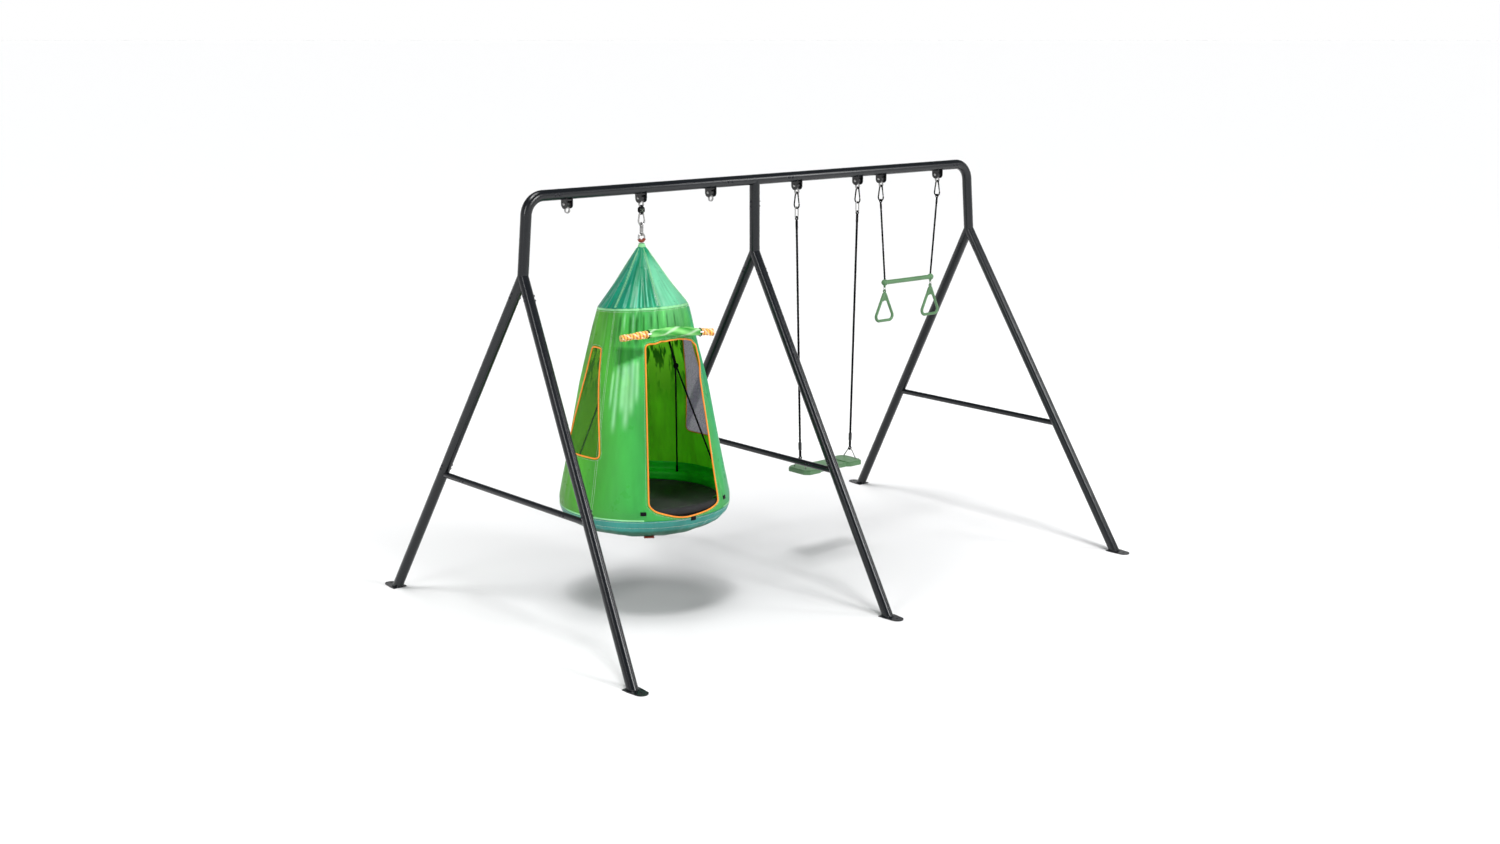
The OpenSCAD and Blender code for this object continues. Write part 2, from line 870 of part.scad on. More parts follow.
// Door outline seen along its radius: a dipping sill and a rounded top
module door_cutter() {
    rotate([90, 0, 90])
        translate([0, 0, 100])
            linear_extrude(400)
                polygon([
                    [-260, door_low_h + 72], [-218, door_low_h + 58],
                    [-196, door_low_h + 34], [-150, door_low_h + 18],
                    [-95, door_low_h], [-45, door_low_h - 8],
                    [0, door_low_h - 6], [100, door_low_h + 4],
                    [160, door_low_h + 16], [188, door_low_h + 32],
                    [197, door_low_h + 60], [179, door_side_h + 40],
                    [170, door_side_h + 72], [148, door_side_h + 96],
                    [100, door_side_h + 112], [40, door_side_h + 119],
                    [-50, door_side_h + 116], [-100, door_side_h + 99],
                    [-132, door_side_h + 68], [-148, door_side_h + 32],
                    [-160, door_side_h], [-260, door_side_h - 100]
                ]);
}

module pod_wall() color(wall_green)
    pod_axis()
        rotate([0, 0, door_turn]) {
            // gores beside and behind the door
            gore(-66, -door_half, seam_h, eave_h);
            difference() {
                gore(door_right, 66, seam_h, eave_h);
                door_cutter();
            }
            for (s = [0, 1])
                mirror([0, s, 0]) {
                    gore(114, 147, seam_h, eave_h);
                    gore(147, 180, seam_h, eave_h);
                }
            // gores with a window
            for (s = [-1, 1])
                difference() {
                    gore(s * 90 - 24, s * 90 + 24, seam_h, eave_h);
                    rotate([0, 0, s * 90]) window_cutter(0);
                }
            // gore with the door
            difference() {
                gore(-door_half, door_right, door_side_h, eave_h);
                door_cutter();
            }
            // sill below the door
            difference() {
                gore(-door_half, door_right, seam_h, door_low_h + 100);
                door_cutter();
            }
        }

module window_meshes() color(mesh_grey)
    pod_axis()
        rotate([0, 0, door_turn])
            for (s = [-1, 1])
                intersection() {
                    rotate([0, 0, s * 90 - 24])
                        rotate_extrude(angle = 48)
                            polygon([
                                [slope_r(window_low_h) - 3, window_low_h],
                                [slope_r(window_low_h) - 1, window_low_h],
                                [hip_r - 1, hip_h],
                                [slope_r(window_high_h) - 1, window_high_h],
                                [slope_r(window_high_h) - 3, window_high_h],
                                [hip_r - 3, hip_h]
                            ]);
                    rotate([0, 0, s * 90]) window_cutter(-0.3);
                }

module pod_roof() color(roof_green)
    pod_axis()
        rotate_extrude()
            polygon([
                [18, peak_h - 8], [18 + skin_t, peak_h - 8],
                [eave_r, eave_h], [eave_r - skin_t - 1, eave_h]
            ]);

roll_r = 26;
roll_h = 1496;
roll_reach = slope_r(roll_h) + roll_r + 1;

module door_roll() color(wall_green)
    pod_axis()
        rotate([0, 0, door_turn])
            translate([roll_reach, 0, roll_h]) {
                strut([0, -316, -6], [0, -40, 4], roll_r);
                strut([0, -40, 4], [0, 246, -30], roll_r);
                sphere_at([0, -40, 4], roll_r + 0.4);
            }

// ---- board swing ----
link_wire = 3;
link_half = 11;
link_depth = 38;
link_top = pear_bottom + 2 * pear[3] + 2 * link_wire;
link_bottom = link_top - 2 * link_wire - 2 * link_half - link_depth;
rope_r = 6;
splice_r = 9;
swing_rope_top = link_bottom + 2 * link_wire;
triangle_h = 602;
triangle_wire = 3;
triangle_half = 48;
seat_pivot_h = triangle_h - triangle_wire - 4.3;
triangle_foot = seat_h - 14;
seat_x = (swing_x[0] + swing_x[1]) / 2;
adjuster_h = 672;

function seat_rope_x(s) = seat_x + s * seat_rope_gap / 2;
function swing_rope_x(s) = s < 0 ? swing_x[0] : swing_x[1];

module swing_eyes() for (x = swing_x) at_hanger(x) eye();

module swing_carabiners() color(black) for (x = swing_x) at_pear(x) pear_carabiner();

module left_swing_gate() pear_gate_at(swing_x[0]);

module right_swing_gate() pear_gate_at(swing_x[1]);

module quick_links() color(steel)
    for (x = swing_x)
        translate([x, 0, link_top])
            loop(link_half, link_half, link_depth, link_wire, 0, 0);

// A spliced rope eye in the yz plane: its top bar sits at the given height
module splice(x, z, radius, wire) {
    translate([x, 0, z + wire - radius]) ring_yz(radius, wire);
}

module swing_ropes() color(black)
    for (s = [-1, 1]) {
        top = [swing_rope_x(s), 0, swing_rope_top - 2 * splice_r + rope_r - 1];
        low = [seat_rope_x(s), 0, triangle_h + 2 * splice_r - rope_r + 1];
        splice(swing_rope_x(s), swing_rope_top, splice_r, 4);
        strut(top, low, rope_r);
        translate([seat_rope_x(s), 0, seat_pivot_h + splice_r])
            rotate([0, 0, 90]) ring_yz(splice_r, 4);
    }

module rope_adjusters() color(black)
    for (s = [-1, 1]) {
        part = (swing_rope_top - adjuster_h) / (swing_rope_top - triangle_h);
        x = swing_rope_x(s) + part * (seat_rope_x(s) - swing_rope_x(s));
        lean_y = atan((swing_rope_x(s) - seat_rope_x(s)) / (swing_rope_top - triangle_h));
        translate([x, 0, adjuster_h])
            rotate([0, lean_y, 0])
                difference() {
                    rod(9.5, -21, 21);
                    rod(rope_r + 0.9, -22, 22);
                }
    }

// Bent wire: peak under the rope and a leg into each edge of the seat
module seat_triangles() color(steel)
    for (s = [-1, 1])
        translate([seat_rope_x(s), 0, 0]) {
            shoulder = [0, triangle_half, seat_h + 6];
            peak_y = 9;
            strut([0, -peak_y, triangle_h], [0, peak_y, triangle_h], triangle_wire);
            for (f = [-1, 1]) {
                knee = [0, f * shoulder[1], shoulder[2]];
                strut([0, f * peak_y, triangle_h], knee, triangle_wire);
                sphere_at([0, f * peak_y, triangle_h], triangle_wire);
                sphere_at(knee, triangle_wire);
                strut([0, f * triangle_half, triangle_foot - 16], knee, triangle_wire);
            }
        }

module seat_outline(grow) {
    end_half = seat_w / 2 + grow;
    waist = seat_w / 2 - 16 + grow;
    tip = seat_l / 2 + grow;
    corner = 26;
    polygon([
        [-tip, -end_half + corner], [-tip + corner, -end_half],
        [-tip + 105, -end_half], [-tip + 128, -waist],
        [tip - 128, -waist], [tip - 105, -end_half],
        [tip - corner, -end_half], [tip, -end_half + corner],
        [tip, end_half - corner], [tip - corner, end_half],
        [tip - 105, end_half], [tip - 128, waist],
        [-tip + 128, waist], [-tip + 105, end_half],
        [-tip + corner, end_half], [-tip, end_half - corner]
    ]);
}

seat_t = 26;

module seat_board() color(green_plastic)
    difference() {
        translate([seat_x, 0, seat_h - seat_t]) {
            linear_extrude(seat_t - 8) seat_outline(0);
            linear_extrude(seat_t - 4) seat_outline(-4);
            for (s = [0, 1])
                mirror([s, 0, 0])
                    linear_extrude(seat_t)
                        intersection() {
                            seat_outline(-7);
                            translate([seat_l / 2 - 118, -seat_w]) square([118, 2 * seat_w]);
                        }
        }
        for (s = [-1, 1])
            for (f = [-1, 1])
                translate([seat_rope_x(s), f * triangle_half, 0])
                    rod(triangle_wire + 0.4, seat_h - seat_t - past, seat_h + past);
    }

// ---- trapeze ----
trapeze_rope_r = 5;
trapeze_splice_r = 9;
trapeze_rope_top = pear_bottom + 2 * pear[3];
ball_r = 19;
trapeze_bar_r = 13;
trapeze_mid = (trapeze_x[0] + trapeze_x[1]) / 2;
ball_eye_h = trapeze_h - ball_r - 4;
ball_hole_r = 3;
link_thin = 2;
link_bend = 6;
link_long = 14;
ring_link_top = ball_eye_h - ball_hole_r - 2.85 + link_bend + link_thin;
ring_link_pivot = ring_link_top - link_thin - link_bend;
hand_wire = 8.5;
hand_hole_r = 4.5;
hand_pivot = ring_link_pivot - link_long - link_bend;
hand_eye_h = hand_pivot - 1.35;

function ball_x(s) = trapeze_mid + s * trapeze_l / 2;
function trapeze_rope_x(s) = s < 0 ? trapeze_x[0] : trapeze_x[1];

module trapeze_eyes() for (x = trapeze_x) at_hanger(x) eye();

module trapeze_carabiners() color(black) for (x = trapeze_x) at_pear(x) pear_carabiner();

module left_trapeze_gate() pear_gate_at(trapeze_x[0]);

module right_trapeze_gate() pear_gate_at(trapeze_x[1]);

module trapeze_ropes() color(black)
    for (s = [-1, 1]) {
        translate([trapeze_rope_x(s), 0, trapeze_rope_top + 3.6 - trapeze_splice_r])
            rotate([0, 0, 90]) ring_yz(trapeze_splice_r, 3.5);
        strut(
            [trapeze_rope_x(s), 0, trapeze_rope_top - 2 * trapeze_splice_r + 3],
            [ball_x(s), 0, trapeze_h + ball_r + 0.2],
            trapeze_rope_r
        );
    }

module trapeze_bar() color(green_plastic)
    translate([0, 0, trapeze_h])
        difference() {
            x_rod(trapeze_bar_r, ball_x(-1) + ball_r - 4, ball_x(1) - ball_r + 4);
            for (s = [-1, 1])
                translate([ball_x(s), 0, 0]) sphere(r = ball_r + 0.2);
        }

// Ball with an eye below it for the ring link
module ball_ends() color(green_plastic)
    for (s = [-1, 1])
        translate([ball_x(s), 0, 0])
            difference() {
                union() {
                    translate([0, 0, trapeze_h]) sphere(r = ball_r);
                    translate([0, 0, ball_eye_h]) {
                        y_rod(7, -2.5, 2.5);
                        translate([-7, -2.5, 0]) cube([14, 5, 8]);
                    }
                }
                translate([0, 0, ball_eye_h]) y_rod(ball_hole_r, -5, 5);
            }

// Oval wire link between a ball's eye and a hand ring's eye, in the yz plane
module ring_link(s) color(steel)
    translate([ball_x(s), 0, ring_link_top])
        rotate([0, 0, 90])
            loop(link_bend, link_bend, link_long, link_thin, 0, 0);

hand_corner_r = 26;
hand_corner = [40, -122];
hand_top_r = 9.5;
hand_beta = atan(hand_corner[0] / -hand_corner[1])
    + asin((hand_corner_r - hand_top_r) / norm(hand_corner));

module hand_ring(s) color(green_plastic)
    translate([ball_x(s), 0, hand_eye_h]) {
        // small eye at the top
        difference() {
            union() {
                y_rod(11, -2.5, 2.5);
                translate([-8, -2.5, -22]) cube([16, 5, 16]);
            }
            y_rod(hand_hole_r, -6, 6);
        }
        translate([0, 0, -24]) {
            arc(hand_top_r, hand_wire, hand_beta, 180 - hand_beta);
            bottom = hand_corner[1] - hand_corner_r;
            straight(
                [-hand_corner[0], 0, bottom], [hand_corner[0], 0, bottom],
                hand_wire, 1, 1
            );
            for (m = [-1, 1]) {
                n = [m * cos(hand_beta), 0, sin(hand_beta)];
                low = [m * hand_corner[0], 0, hand_corner[1]];
                straight(hand_top_r * n, low + hand_corner_r * n, hand_wire, 1, 1);
                translate(low)
                    arc(
                        hand_corner_r, hand_wire,
                        m > 0 ? -90 : 180 - hand_beta, m > 0 ? hand_beta : 270
                    );
            }
            // web that fills the narrow top
            rotate([90, 0, 0])
                translate([0, 0, -4])
                    linear_extrude(8)
                        polygon([[-9, 2], [9, 2], [24, -38], [0, -30], [-24, -38]]);
        }
    }

left_end_piece();
right_end_piece();
left_beam_tube();
right_beam_tube();
middle_tee();
middle_fork();
upper_legs(-1);  // left_upper_legs
upper_legs(0);  // middle_upper_legs
upper_legs(1);  // right_upper_legs
lower_leg(-1, -1);  // left_front_lower_leg
lower_leg(-1, 1);  // left_rear_lower_leg
lower_leg(0, -1);  // middle_front_lower_leg
lower_leg(0, 1);  // middle_rear_lower_leg
lower_leg(1, -1);  // right_front_lower_leg
lower_leg(1, 1);  // right_rear_lower_leg
crossbars();
frame_bolts();
frame_nuts();
hanger_brackets();
pivot_bolts();
pivot_bushings();
at_hanger(spare_x[0]) eye();  // left_spare_eye
at_hanger(spare_x[1]) eye();  // right_spare_eye
at_hanger(pod_x) eye();  // pod_eye
pod_strap();
pod_carabiner();
pod_gate();
swivel_top();
swivel_bottom();
pod_ring();
pod_ropes();
saucer_ring();
ring_padding();
saucer_floor();
inner_skirt();
base_cover();
pod_wall();
pod_roof();
window_meshes();
door_roll();
swing_eyes();
swing_carabiners();
left_swing_gate();
right_swing_gate();
quick_links();
swing_ropes();
rope_adjusters();
seat_triangles();
seat_board();
trapeze_eyes();
trapeze_carabiners();
left_trapeze_gate();
right_trapeze_gate();
trapeze_ropes();
trapeze_bar();
ball_ends();
ring_link(-1);  // left_ring_link
ring_link(1);  // right_ring_link
hand_ring(-1);  // left_hand_ring
hand_ring(1);  // right_hand_ring
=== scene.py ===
import math

import bpy
import numpy as np
from mathutils import Matrix, Vector
from mathutils.geometry import delaunay_2d_cdt


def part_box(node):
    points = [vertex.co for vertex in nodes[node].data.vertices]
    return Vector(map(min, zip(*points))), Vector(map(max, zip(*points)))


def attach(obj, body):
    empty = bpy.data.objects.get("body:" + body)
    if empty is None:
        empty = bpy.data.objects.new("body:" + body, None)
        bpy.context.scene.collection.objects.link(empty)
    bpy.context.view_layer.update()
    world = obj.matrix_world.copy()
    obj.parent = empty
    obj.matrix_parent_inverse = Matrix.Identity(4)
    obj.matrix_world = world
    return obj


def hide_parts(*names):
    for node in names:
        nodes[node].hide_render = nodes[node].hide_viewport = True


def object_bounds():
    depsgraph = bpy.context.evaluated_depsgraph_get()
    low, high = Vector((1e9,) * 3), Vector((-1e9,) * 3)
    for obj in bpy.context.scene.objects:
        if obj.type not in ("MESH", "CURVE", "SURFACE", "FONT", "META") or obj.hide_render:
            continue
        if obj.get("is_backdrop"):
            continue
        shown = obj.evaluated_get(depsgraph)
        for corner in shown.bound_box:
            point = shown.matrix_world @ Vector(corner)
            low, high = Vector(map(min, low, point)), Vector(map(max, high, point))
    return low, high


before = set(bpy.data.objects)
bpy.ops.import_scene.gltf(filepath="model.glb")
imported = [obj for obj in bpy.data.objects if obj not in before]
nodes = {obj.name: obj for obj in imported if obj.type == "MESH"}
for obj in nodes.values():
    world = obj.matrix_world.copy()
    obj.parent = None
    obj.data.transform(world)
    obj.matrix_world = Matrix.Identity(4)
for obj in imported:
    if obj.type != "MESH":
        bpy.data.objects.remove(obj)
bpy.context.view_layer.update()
scene = bpy.context.scene
RAD = math.pi / 180


# ------------------------ camera
# fitted to the photograph: metres, degrees up from straight down, degrees turned to the left
CAMERA_AT = (-6.7547, -7.6885, 3.0890)
CAMERA_PITCH, CAMERA_YAW = 77.65, -40.75
CAMERA_LENS, CAMERA_SENSOR = 45.08, 36
camera_data = bpy.data.cameras.new("camera")
camera_data.lens = CAMERA_LENS
camera_data.sensor_width = CAMERA_SENSOR
camera_data.clip_end = 200
camera = bpy.data.objects.new("camera", camera_data)
scene.collection.objects.link(camera)
camera.location = CAMERA_AT
camera.rotation_euler = (CAMERA_PITCH * RAD, 0, CAMERA_YAW * RAD)
scene.camera = camera


# ------------------------ mesh helpers
def mesh_object(name, verts, faces, material, smooth=True):
    mesh = bpy.data.meshes.new(name)
    mesh.from_pydata([tuple(v) for v in verts], [], [tuple(f) for f in faces])
    mesh.update()
    obj = bpy.data.objects.new(name, mesh)
    scene.collection.objects.link(obj)
    mesh.materials.append(material)
    if smooth:
        mesh.polygons.foreach_set("use_smooth", [True] * len(mesh.polygons))
    return obj


def smooth_step(low, high, x):
    t = np.clip((x - low) / (high - low), 0, 1)
    return t * t * (3 - 2 * t)


def plateau(x, low, full, fade, end):
    """0 below low, 1 between full and fade, 0 again above end."""
    return smooth_step(low, full, x) * (1 - smooth_step(fade, end, x))


def hump(x, middle, width):
    return np.exp(-(((x - middle) / width) ** 2))


def resample(points, step, closed=False):
    """Points at even steps along a line."""
    pts = [np.array(p, float) for p in points]
    if closed:
        pts.append(pts[0])
    pts = np.array(pts)
    lengths = np.linalg.norm(np.diff(pts, axis=0), axis=1)
    along = np.concatenate([[0], np.cumsum(lengths)])
    count = max(2, int(round(along[-1] / step)))
    at = np.linspace(0, along[-1], count + 1)
    if closed:
        at = at[:-1]
    return np.stack([np.interp(at, along, pts[:, k]) for k in range(pts.shape[1])], axis=1)


def tube_mesh(points, radius, sides=12, closed=False, shape=None):
    """Vertices and faces of a tube: shape(length along, angle) scales the radius."""
    pts = np.array(points, float)
    n = len(pts)
    if closed:
        tangent = np.roll(pts, -1, 0) - np.roll(pts, 1, 0)
    else:
        tangent = np.gradient(pts, axis=0)
    tangent /= np.linalg.norm(tangent, axis=1)[:, None]
    normal = np.cross(tangent[0], (0.31, 0.17, 0.93))
    normal /= np.linalg.norm(normal)
    along, verts = 0.0, []
    angles = np.arange(sides) * 2 * math.pi / sides
    for i in range(n):
        if i:
            along += np.linalg.norm(pts[i] - pts[i - 1])
            normal = normal - np.dot(normal, tangent[i]) * tangent[i]
            normal /= np.linalg.norm(normal)
        side = np.cross(tangent[i], normal)
        size = radius(along) if callable(radius) else radius
        grow = shape(along, angles) if shape else np.ones(sides)
        ring = pts[i] + (size * grow)[:, None] * (
            np.cos(angles)[:, None] * normal + np.sin(angles)[:, None] * side
        )
        verts.extend(ring)
    faces = []
    for i in range(n if closed else n - 1):
        a, b = i * sides, ((i + 1) % n) * sides
        for k in range(sides):
            j = (k + 1) % sides
            faces.append((a + k, a + j, b + j, b + k))
    if not closed:
        faces.append(tuple(range(sides))[::-1])
        faces.append(tuple((n - 1) * sides + k for k in range(sides)))
    return verts, faces


def tube(name, points, radius, material, sides=12, closed=False, shape=None):
    verts, faces = tube_mesh(points, radius, sides, closed, shape)
    return mesh_object(name, verts, faces, material)


def joined(name, parts, material):
    """One object from several (verts, faces) lists."""
    verts, faces = [], []
    for v, f in parts:
        base = len(verts)
        verts.extend(v)
        faces.extend(tuple(i + base for i in face) for face in f)
    return mesh_object(name, verts, faces, material)


def colours(obj, values):
    """A colour for each vertex, read by the material's Attribute node."""
    layer = obj.data.color_attributes.new("tint", "FLOAT_COLOR", "POINT")
    flat = np.ones((len(obj.data.vertices), 4), np.float32)
    flat[:, :3] = values
    layer.data.foreach_set("color", flat.ravel())


def blend(colour, goal, share):
    """Each vertex's colour, moved towards the goal by its own share."""
    share = share[:, None]
    return colour * (1 - share) + np.array(goal) * share


def grid_faces(rows, columns, wrap_rows=False, wrap_columns=False):
    """Quads of a grid whose vertices are listed row by row."""
    faces = []
    for j in range(rows if wrap_rows else rows - 1):
        a, b = j * columns, (j + 1) % rows * columns
        for i in range(columns if wrap_columns else columns - 1):
            k = (i + 1) % columns
            faces.append((a + i, a + k, b + k, b + i))
    return faces


def put(obj, body, replaces=None):
    """The body a piece rides on and the CAD piece it stands for."""
    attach(obj, body)
    if replaces:
        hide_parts(replaces)


def coordinates(obj):
    co = np.zeros(len(obj.data.vertices) * 3)
    obj.data.vertices.foreach_get("co", co)
    return co.reshape(-1, 3)


def solid(obj, thickness, offset=-1.0, lining=None):
    """Gives a sheet its thickness, for good, and its inner face another material."""
    mod = obj.modifiers.new("thick", "SOLIDIFY")
    mod.thickness = thickness
    mod.offset = offset
    mod.use_even_offset = False
    if lining:
        obj.data.materials.append(lining)
        mod.material_offset = 1
    apply_modifiers(obj)


def apply_modifiers(obj):
    graph = bpy.context.evaluated_depsgraph_get()
    mesh = bpy.data.meshes.new_from_object(obj.evaluated_get(graph))
    old = obj.data
    obj.modifiers.clear()
    obj.data = mesh
    mesh.name = old.name
    bpy.data.meshes.remove(old)


def linear(r, g, b):
    """sRGB 0-255 to the linear colour a shader takes."""
    return tuple(
        c / 12.92 if c <= 0.04045 else ((c + 0.055) / 1.055) ** 2.4
        for c in (r / 255, g / 255, b / 255)
    )


# ------------------------ materials
class Shader:
    """A Principled material with small helpers for its procedural parts."""

    def __init__(self, name, colour, rough, metal=0.0, **sockets):
        self.mat = bpy.data.materials.new(name)
        self.mat.use_nodes = True
        self.tree = self.mat.node_tree
        self.bsdf = self.tree.nodes["Principled BSDF"]
        self.out = self.tree.nodes["Material Output"]
        self.colour = colour
        self.bsdf.inputs["Base Color"].default_value = (*colour, 1)
        self.bsdf.inputs["Roughness"].default_value = rough
        self.bsdf.inputs["Metallic"].default_value = metal
        for key, value in sockets.items():
            self.bsdf.inputs[key.replace("_", " ")].default_value = value
        self.coord = self.node("ShaderNodeTexCoord").outputs["Object"]
        self.bump_from = None

    def node(self, kind, **values):
        n = self.tree.nodes.new(kind)
        for key, value in values.items():
            setattr(n, key, value)
        return n

    def link(self, a, b):
        self.tree.links.new(a, b)

    def feed(self, socket, value):
        """Gives a socket a number, a colour or another node's output."""
        if isinstance(value, (int, float)):
            socket.default_value = value
        elif isinstance(value, tuple):
            socket.default_value = (*value, 1)
        else:
            self.link(value, socket)

    def scaled(self, scale):
        return self.texture(self.node("ShaderNodeMapping"), self.coord, Scale=scale)["Vector"]

    def texture(self, n, vector, **sockets):
        for key, value in sockets.items():
            n.inputs[key].default_value = value
        self.link(vector, n.inputs["Vector"])
        return n.outputs

    def noise(self, scale, detail=4.0, rough=0.55, stretch=(1, 1, 1)):
        n = self.node("ShaderNodeTexNoise")
        return self.texture(n, self.scaled(stretch), Scale=scale, Detail=detail, Roughness=rough)["Fac"]

    def wave(self, scale, direction):
        n = self.node("ShaderNodeTexWave", bands_direction=direction)
        return self.texture(n, self.coord, Scale=scale)["Fac"]

    def cells(self, scale, feature="F1"):
        n = self.node("ShaderNodeTexVoronoi", feature=feature)
        return self.texture(n, self.coord, Scale=scale)["Distance"]

    def height(self):
        n = self.node("ShaderNodeSeparateXYZ")
        self.link(self.coord, n.inputs[0])
        return n.outputs["Z"]

    def ramp(self, source, stops):
        n = self.node("ShaderNodeValToRGB")
        ramp = n.color_ramp
        while len(ramp.elements) < len(stops):
            ramp.elements.new(0.5)
        for element, (at, value) in zip(ramp.elements, stops):
            element.position = at
            element.color = (*value, 1) if hasattr(value, "__len__") else (value,) * 3 + (1,)
        self.link(source, n.inputs["Fac"])
        return n.outputs["Color"]

    def math(self, operation, a, b):
        n = self.node("ShaderNodeMath", operation=operation)
        self.feed(n.inputs[0], a)
        self.feed(n.inputs[1], b)
        return n.outputs["Value"]

    def mixed(self, fac, a, b, blend="MIX"):
        n = self.node("ShaderNodeMix", data_type="RGBA", blend_type=blend)
        for index, value in ((0, fac), (6, a), (7, b)):  # the factor and the two colours
            self.feed(n.inputs[index], value)
        return n.outputs[2]

    def vary(self, source, low, high, at=(0.3, 0.7)):
        """Base colour between two shades of its own, by a pattern."""
        dark = tuple(c * low for c in self.colour)
        light = tuple(min(1, c * high) for c in self.colour)
        self.base = self.ramp(source, [(at[0], dark), (at[1], light)])
        self.link(self.base, self.bsdf.inputs["Base Color"])
        return self.base

    def rough(self, source, low, high, at=(0.3, 0.7)):
        self.link(self.ramp(source, [(at[0], low), (at[1], high)]), self.bsdf.inputs["Roughness"])

    def bump(self, source, strength, distance):
        n = self.node("ShaderNodeBump")
        n.inputs["Strength"].default_value = strength
        n.inputs["Distance"].default_value = distance
        self.link(source, n.inputs["Height"])
        if self.bump_from is not None:
            self.link(self.bump_from, n.inputs["Normal"])
        self.bump_from = n.outputs["Normal"]
        self.link(self.bump_from, self.bsdf.inputs["Normal"])

    def tint(self):
        return self.node("ShaderNodeAttribute", attribute_name="tint").outputs["Color"]

    def tinted(self, base):
        """Multiplies the vertex tint in and sets the base colour."""
        made = self.mixed(1.0, base, self.tint(), "MULTIPLY")
        self.link(made, self.bsdf.inputs["Base Color"])
        return made

    def lets_light_through(self, share, colour):
        """Mixes in a Translucent shader, for thin cloth lit from behind."""
        thin = self.node("ShaderNodeBsdfTranslucent")
        self.feed(thin.inputs["Color"], colour)
        mix = self.node("ShaderNodeMixShader")
        mix.inputs[0].default_value = share
        self.link(self.bsdf.outputs[0], mix.inputs[1])
        self.link(thin.outputs[0], mix.inputs[2])
        self.link(mix.outputs[0], self.out.inputs["Surface"])


def powder_coat(name, colour, rough, wear):
    s = Shader(name, colour, rough, 0.0, Specular_IOR_Level=0.42)
    s.vary(s.noise(1.4, 3), 0.90, 1.12)
    s.rough(s.noise(7, 3), rough - 0.03, rough + 0.04)
    s.bump(s.noise(700, 2), 0.05, 0.0004)
    scuff = s.ramp(s.noise(34, 8, 0.78), [(0.745, 0.0), (0.79, 1.0)])
    worn = s.mixed(s.math("MULTIPLY", scuff, wear), s.base, (0.13, 0.14, 0.15))
    s.link(worn, s.bsdf.inputs["Base Color"])
    return s.mat


def metal(name, colour, rough, streak=90):
    s = Shader(name, colour, rough, 1.0)
    s.vary(s.noise(30, 6), 0.86, 1.08)
    s.rough(s.noise(streak, 4, 0.6, (1, 1, 0.12)), rough - 0.07, rough + 0.12)
    s.bump(s.noise(streak * 4, 3, 0.6, (1, 1, 0.1)), 0.12, 0.0004)
    return s.mat


def moulded(name, colour, rough, grain=900):
    s = Shader(name, colour, rough, 0.0, Specular_IOR_Level=0.5)
    s.vary(s.noise(9, 5), 0.90, 1.10)
    s.rough(s.noise(24, 4), rough - 0.05, rough + 0.10)
    s.bump(s.cells(grain), 0.16, 0.0004)
    s.bump(s.noise(40, 3), 0.05, 0.001)
    return s.mat


def braid(name, colour, rough=0.72, sheen=0.2):
    s = Shader(name, colour, rough, 0.0, Sheen_Weight=sheen, Specular_IOR_Level=0.1)
    s.vary(s.noise(260, 3), 0.6, 1.6)
    s.bump(s.noise(1500, 2, 0.6, (1, 1, 0.3)), 0.4, 0.0005)
    return s.mat


def cloth(name, colour, rough, through, sheen=0.15, tint=True, glow=None):
    """Thin coated tent cloth: fine weave, soft mottling, light comes through."""
    s = Shader(name, colour, rough, 0.0, Sheen_Weight=sheen, Sheen_Roughness=0.4)
    streaks = s.noise(7, 5, 0.6, (1, 1, 0.16))
    base = s.vary(streaks, 0.80, 1.16, (0.34, 0.66))
    if tint:
        base = s.tinted(base)
    s.rough(s.noise(16, 4), rough - 0.08, rough + 0.10)
    threads = s.math("ADD", s.wave(250, "Z"), s.wave(250, "DIAGONAL"))
    s.bump(threads, 0.06, 0.0003)
    s.bump(s.noise(46, 5, 0.6, (1, 1, 0.35)), 0.22, 0.004)
    s.bump(s.noise(260, 3), 0.10, 0.0006)
    if through and glow:
        s.lets_light_through(through, s.mixed(0.8, glow, s.tint(), "MULTIPLY"))
    elif through:
        s.lets_light_through(through, base)
    return s.mat


def netting(name, colour, holes, open_share, speckle=(0.55, 1.7), glow=0):
    """Open net: a fine grid of threads with clear holes between them."""
    s = Shader(name, colour, 0.8)
    speck = s.noise(210, 3)
    s.vary(speck, *speckle, (0.42, 0.58))
    thread = s.cells(holes, "DISTANCE_TO_EDGE")
    hole = s.ramp(thread, [(0.05, 0.0), (0.12, 1.0)])
    keep = s.math("SUBTRACT", 1.0, s.math("MULTIPLY", hole, open_share))
    s.link(keep, s.bsdf.inputs["Alpha"])
    s.bump(thread, 0.3, 0.0006)
    # painted light: the net glows with its own colour, though it is no lamp
    if glow:
        s.bsdf.inputs["Emission Color"].default_value = (*colour, 1)
        s.bsdf.inputs["Emission Strength"].default_value = glow
    return s.mat


frame_black = powder_coat("frame_coat", linear(15, 18, 22), 0.23, 0.2)
bracket_black = powder_coat("bracket_coat", linear(16, 16, 18), 0.20, 0.15)
bolt_black = metal("bolt_zinc", linear(52, 52, 56), 0.42)
bright_steel = metal("zinc_plate", (0.36, 0.355, 0.35), 0.24)
clip_black = braid("clip_coat", linear(6, 6, 7), 0.5, 0.0)
white_nylon = moulded("nylon_white", linear(232, 232, 226), 0.4)
black_plastic = moulded("plastic_black", linear(26, 26, 28), 0.42)
green_plastic = moulded("plastic_green", linear(78, 118, 78), 0.34, 700)
rope_black = braid("rope_black", linear(9, 9, 14), 0.9, 0.0)
rope_brown = braid("rope_brown", linear(120, 52, 38))
thread_pale = braid("thread_pale", linear(196, 222, 190))
webbing_black = braid("webbing_black", linear(15, 15, 18), 0.8, 0.05)
piping_orange = cloth("piping_orange", linear(242, 138, 28), 0.5, 0, tint=False)
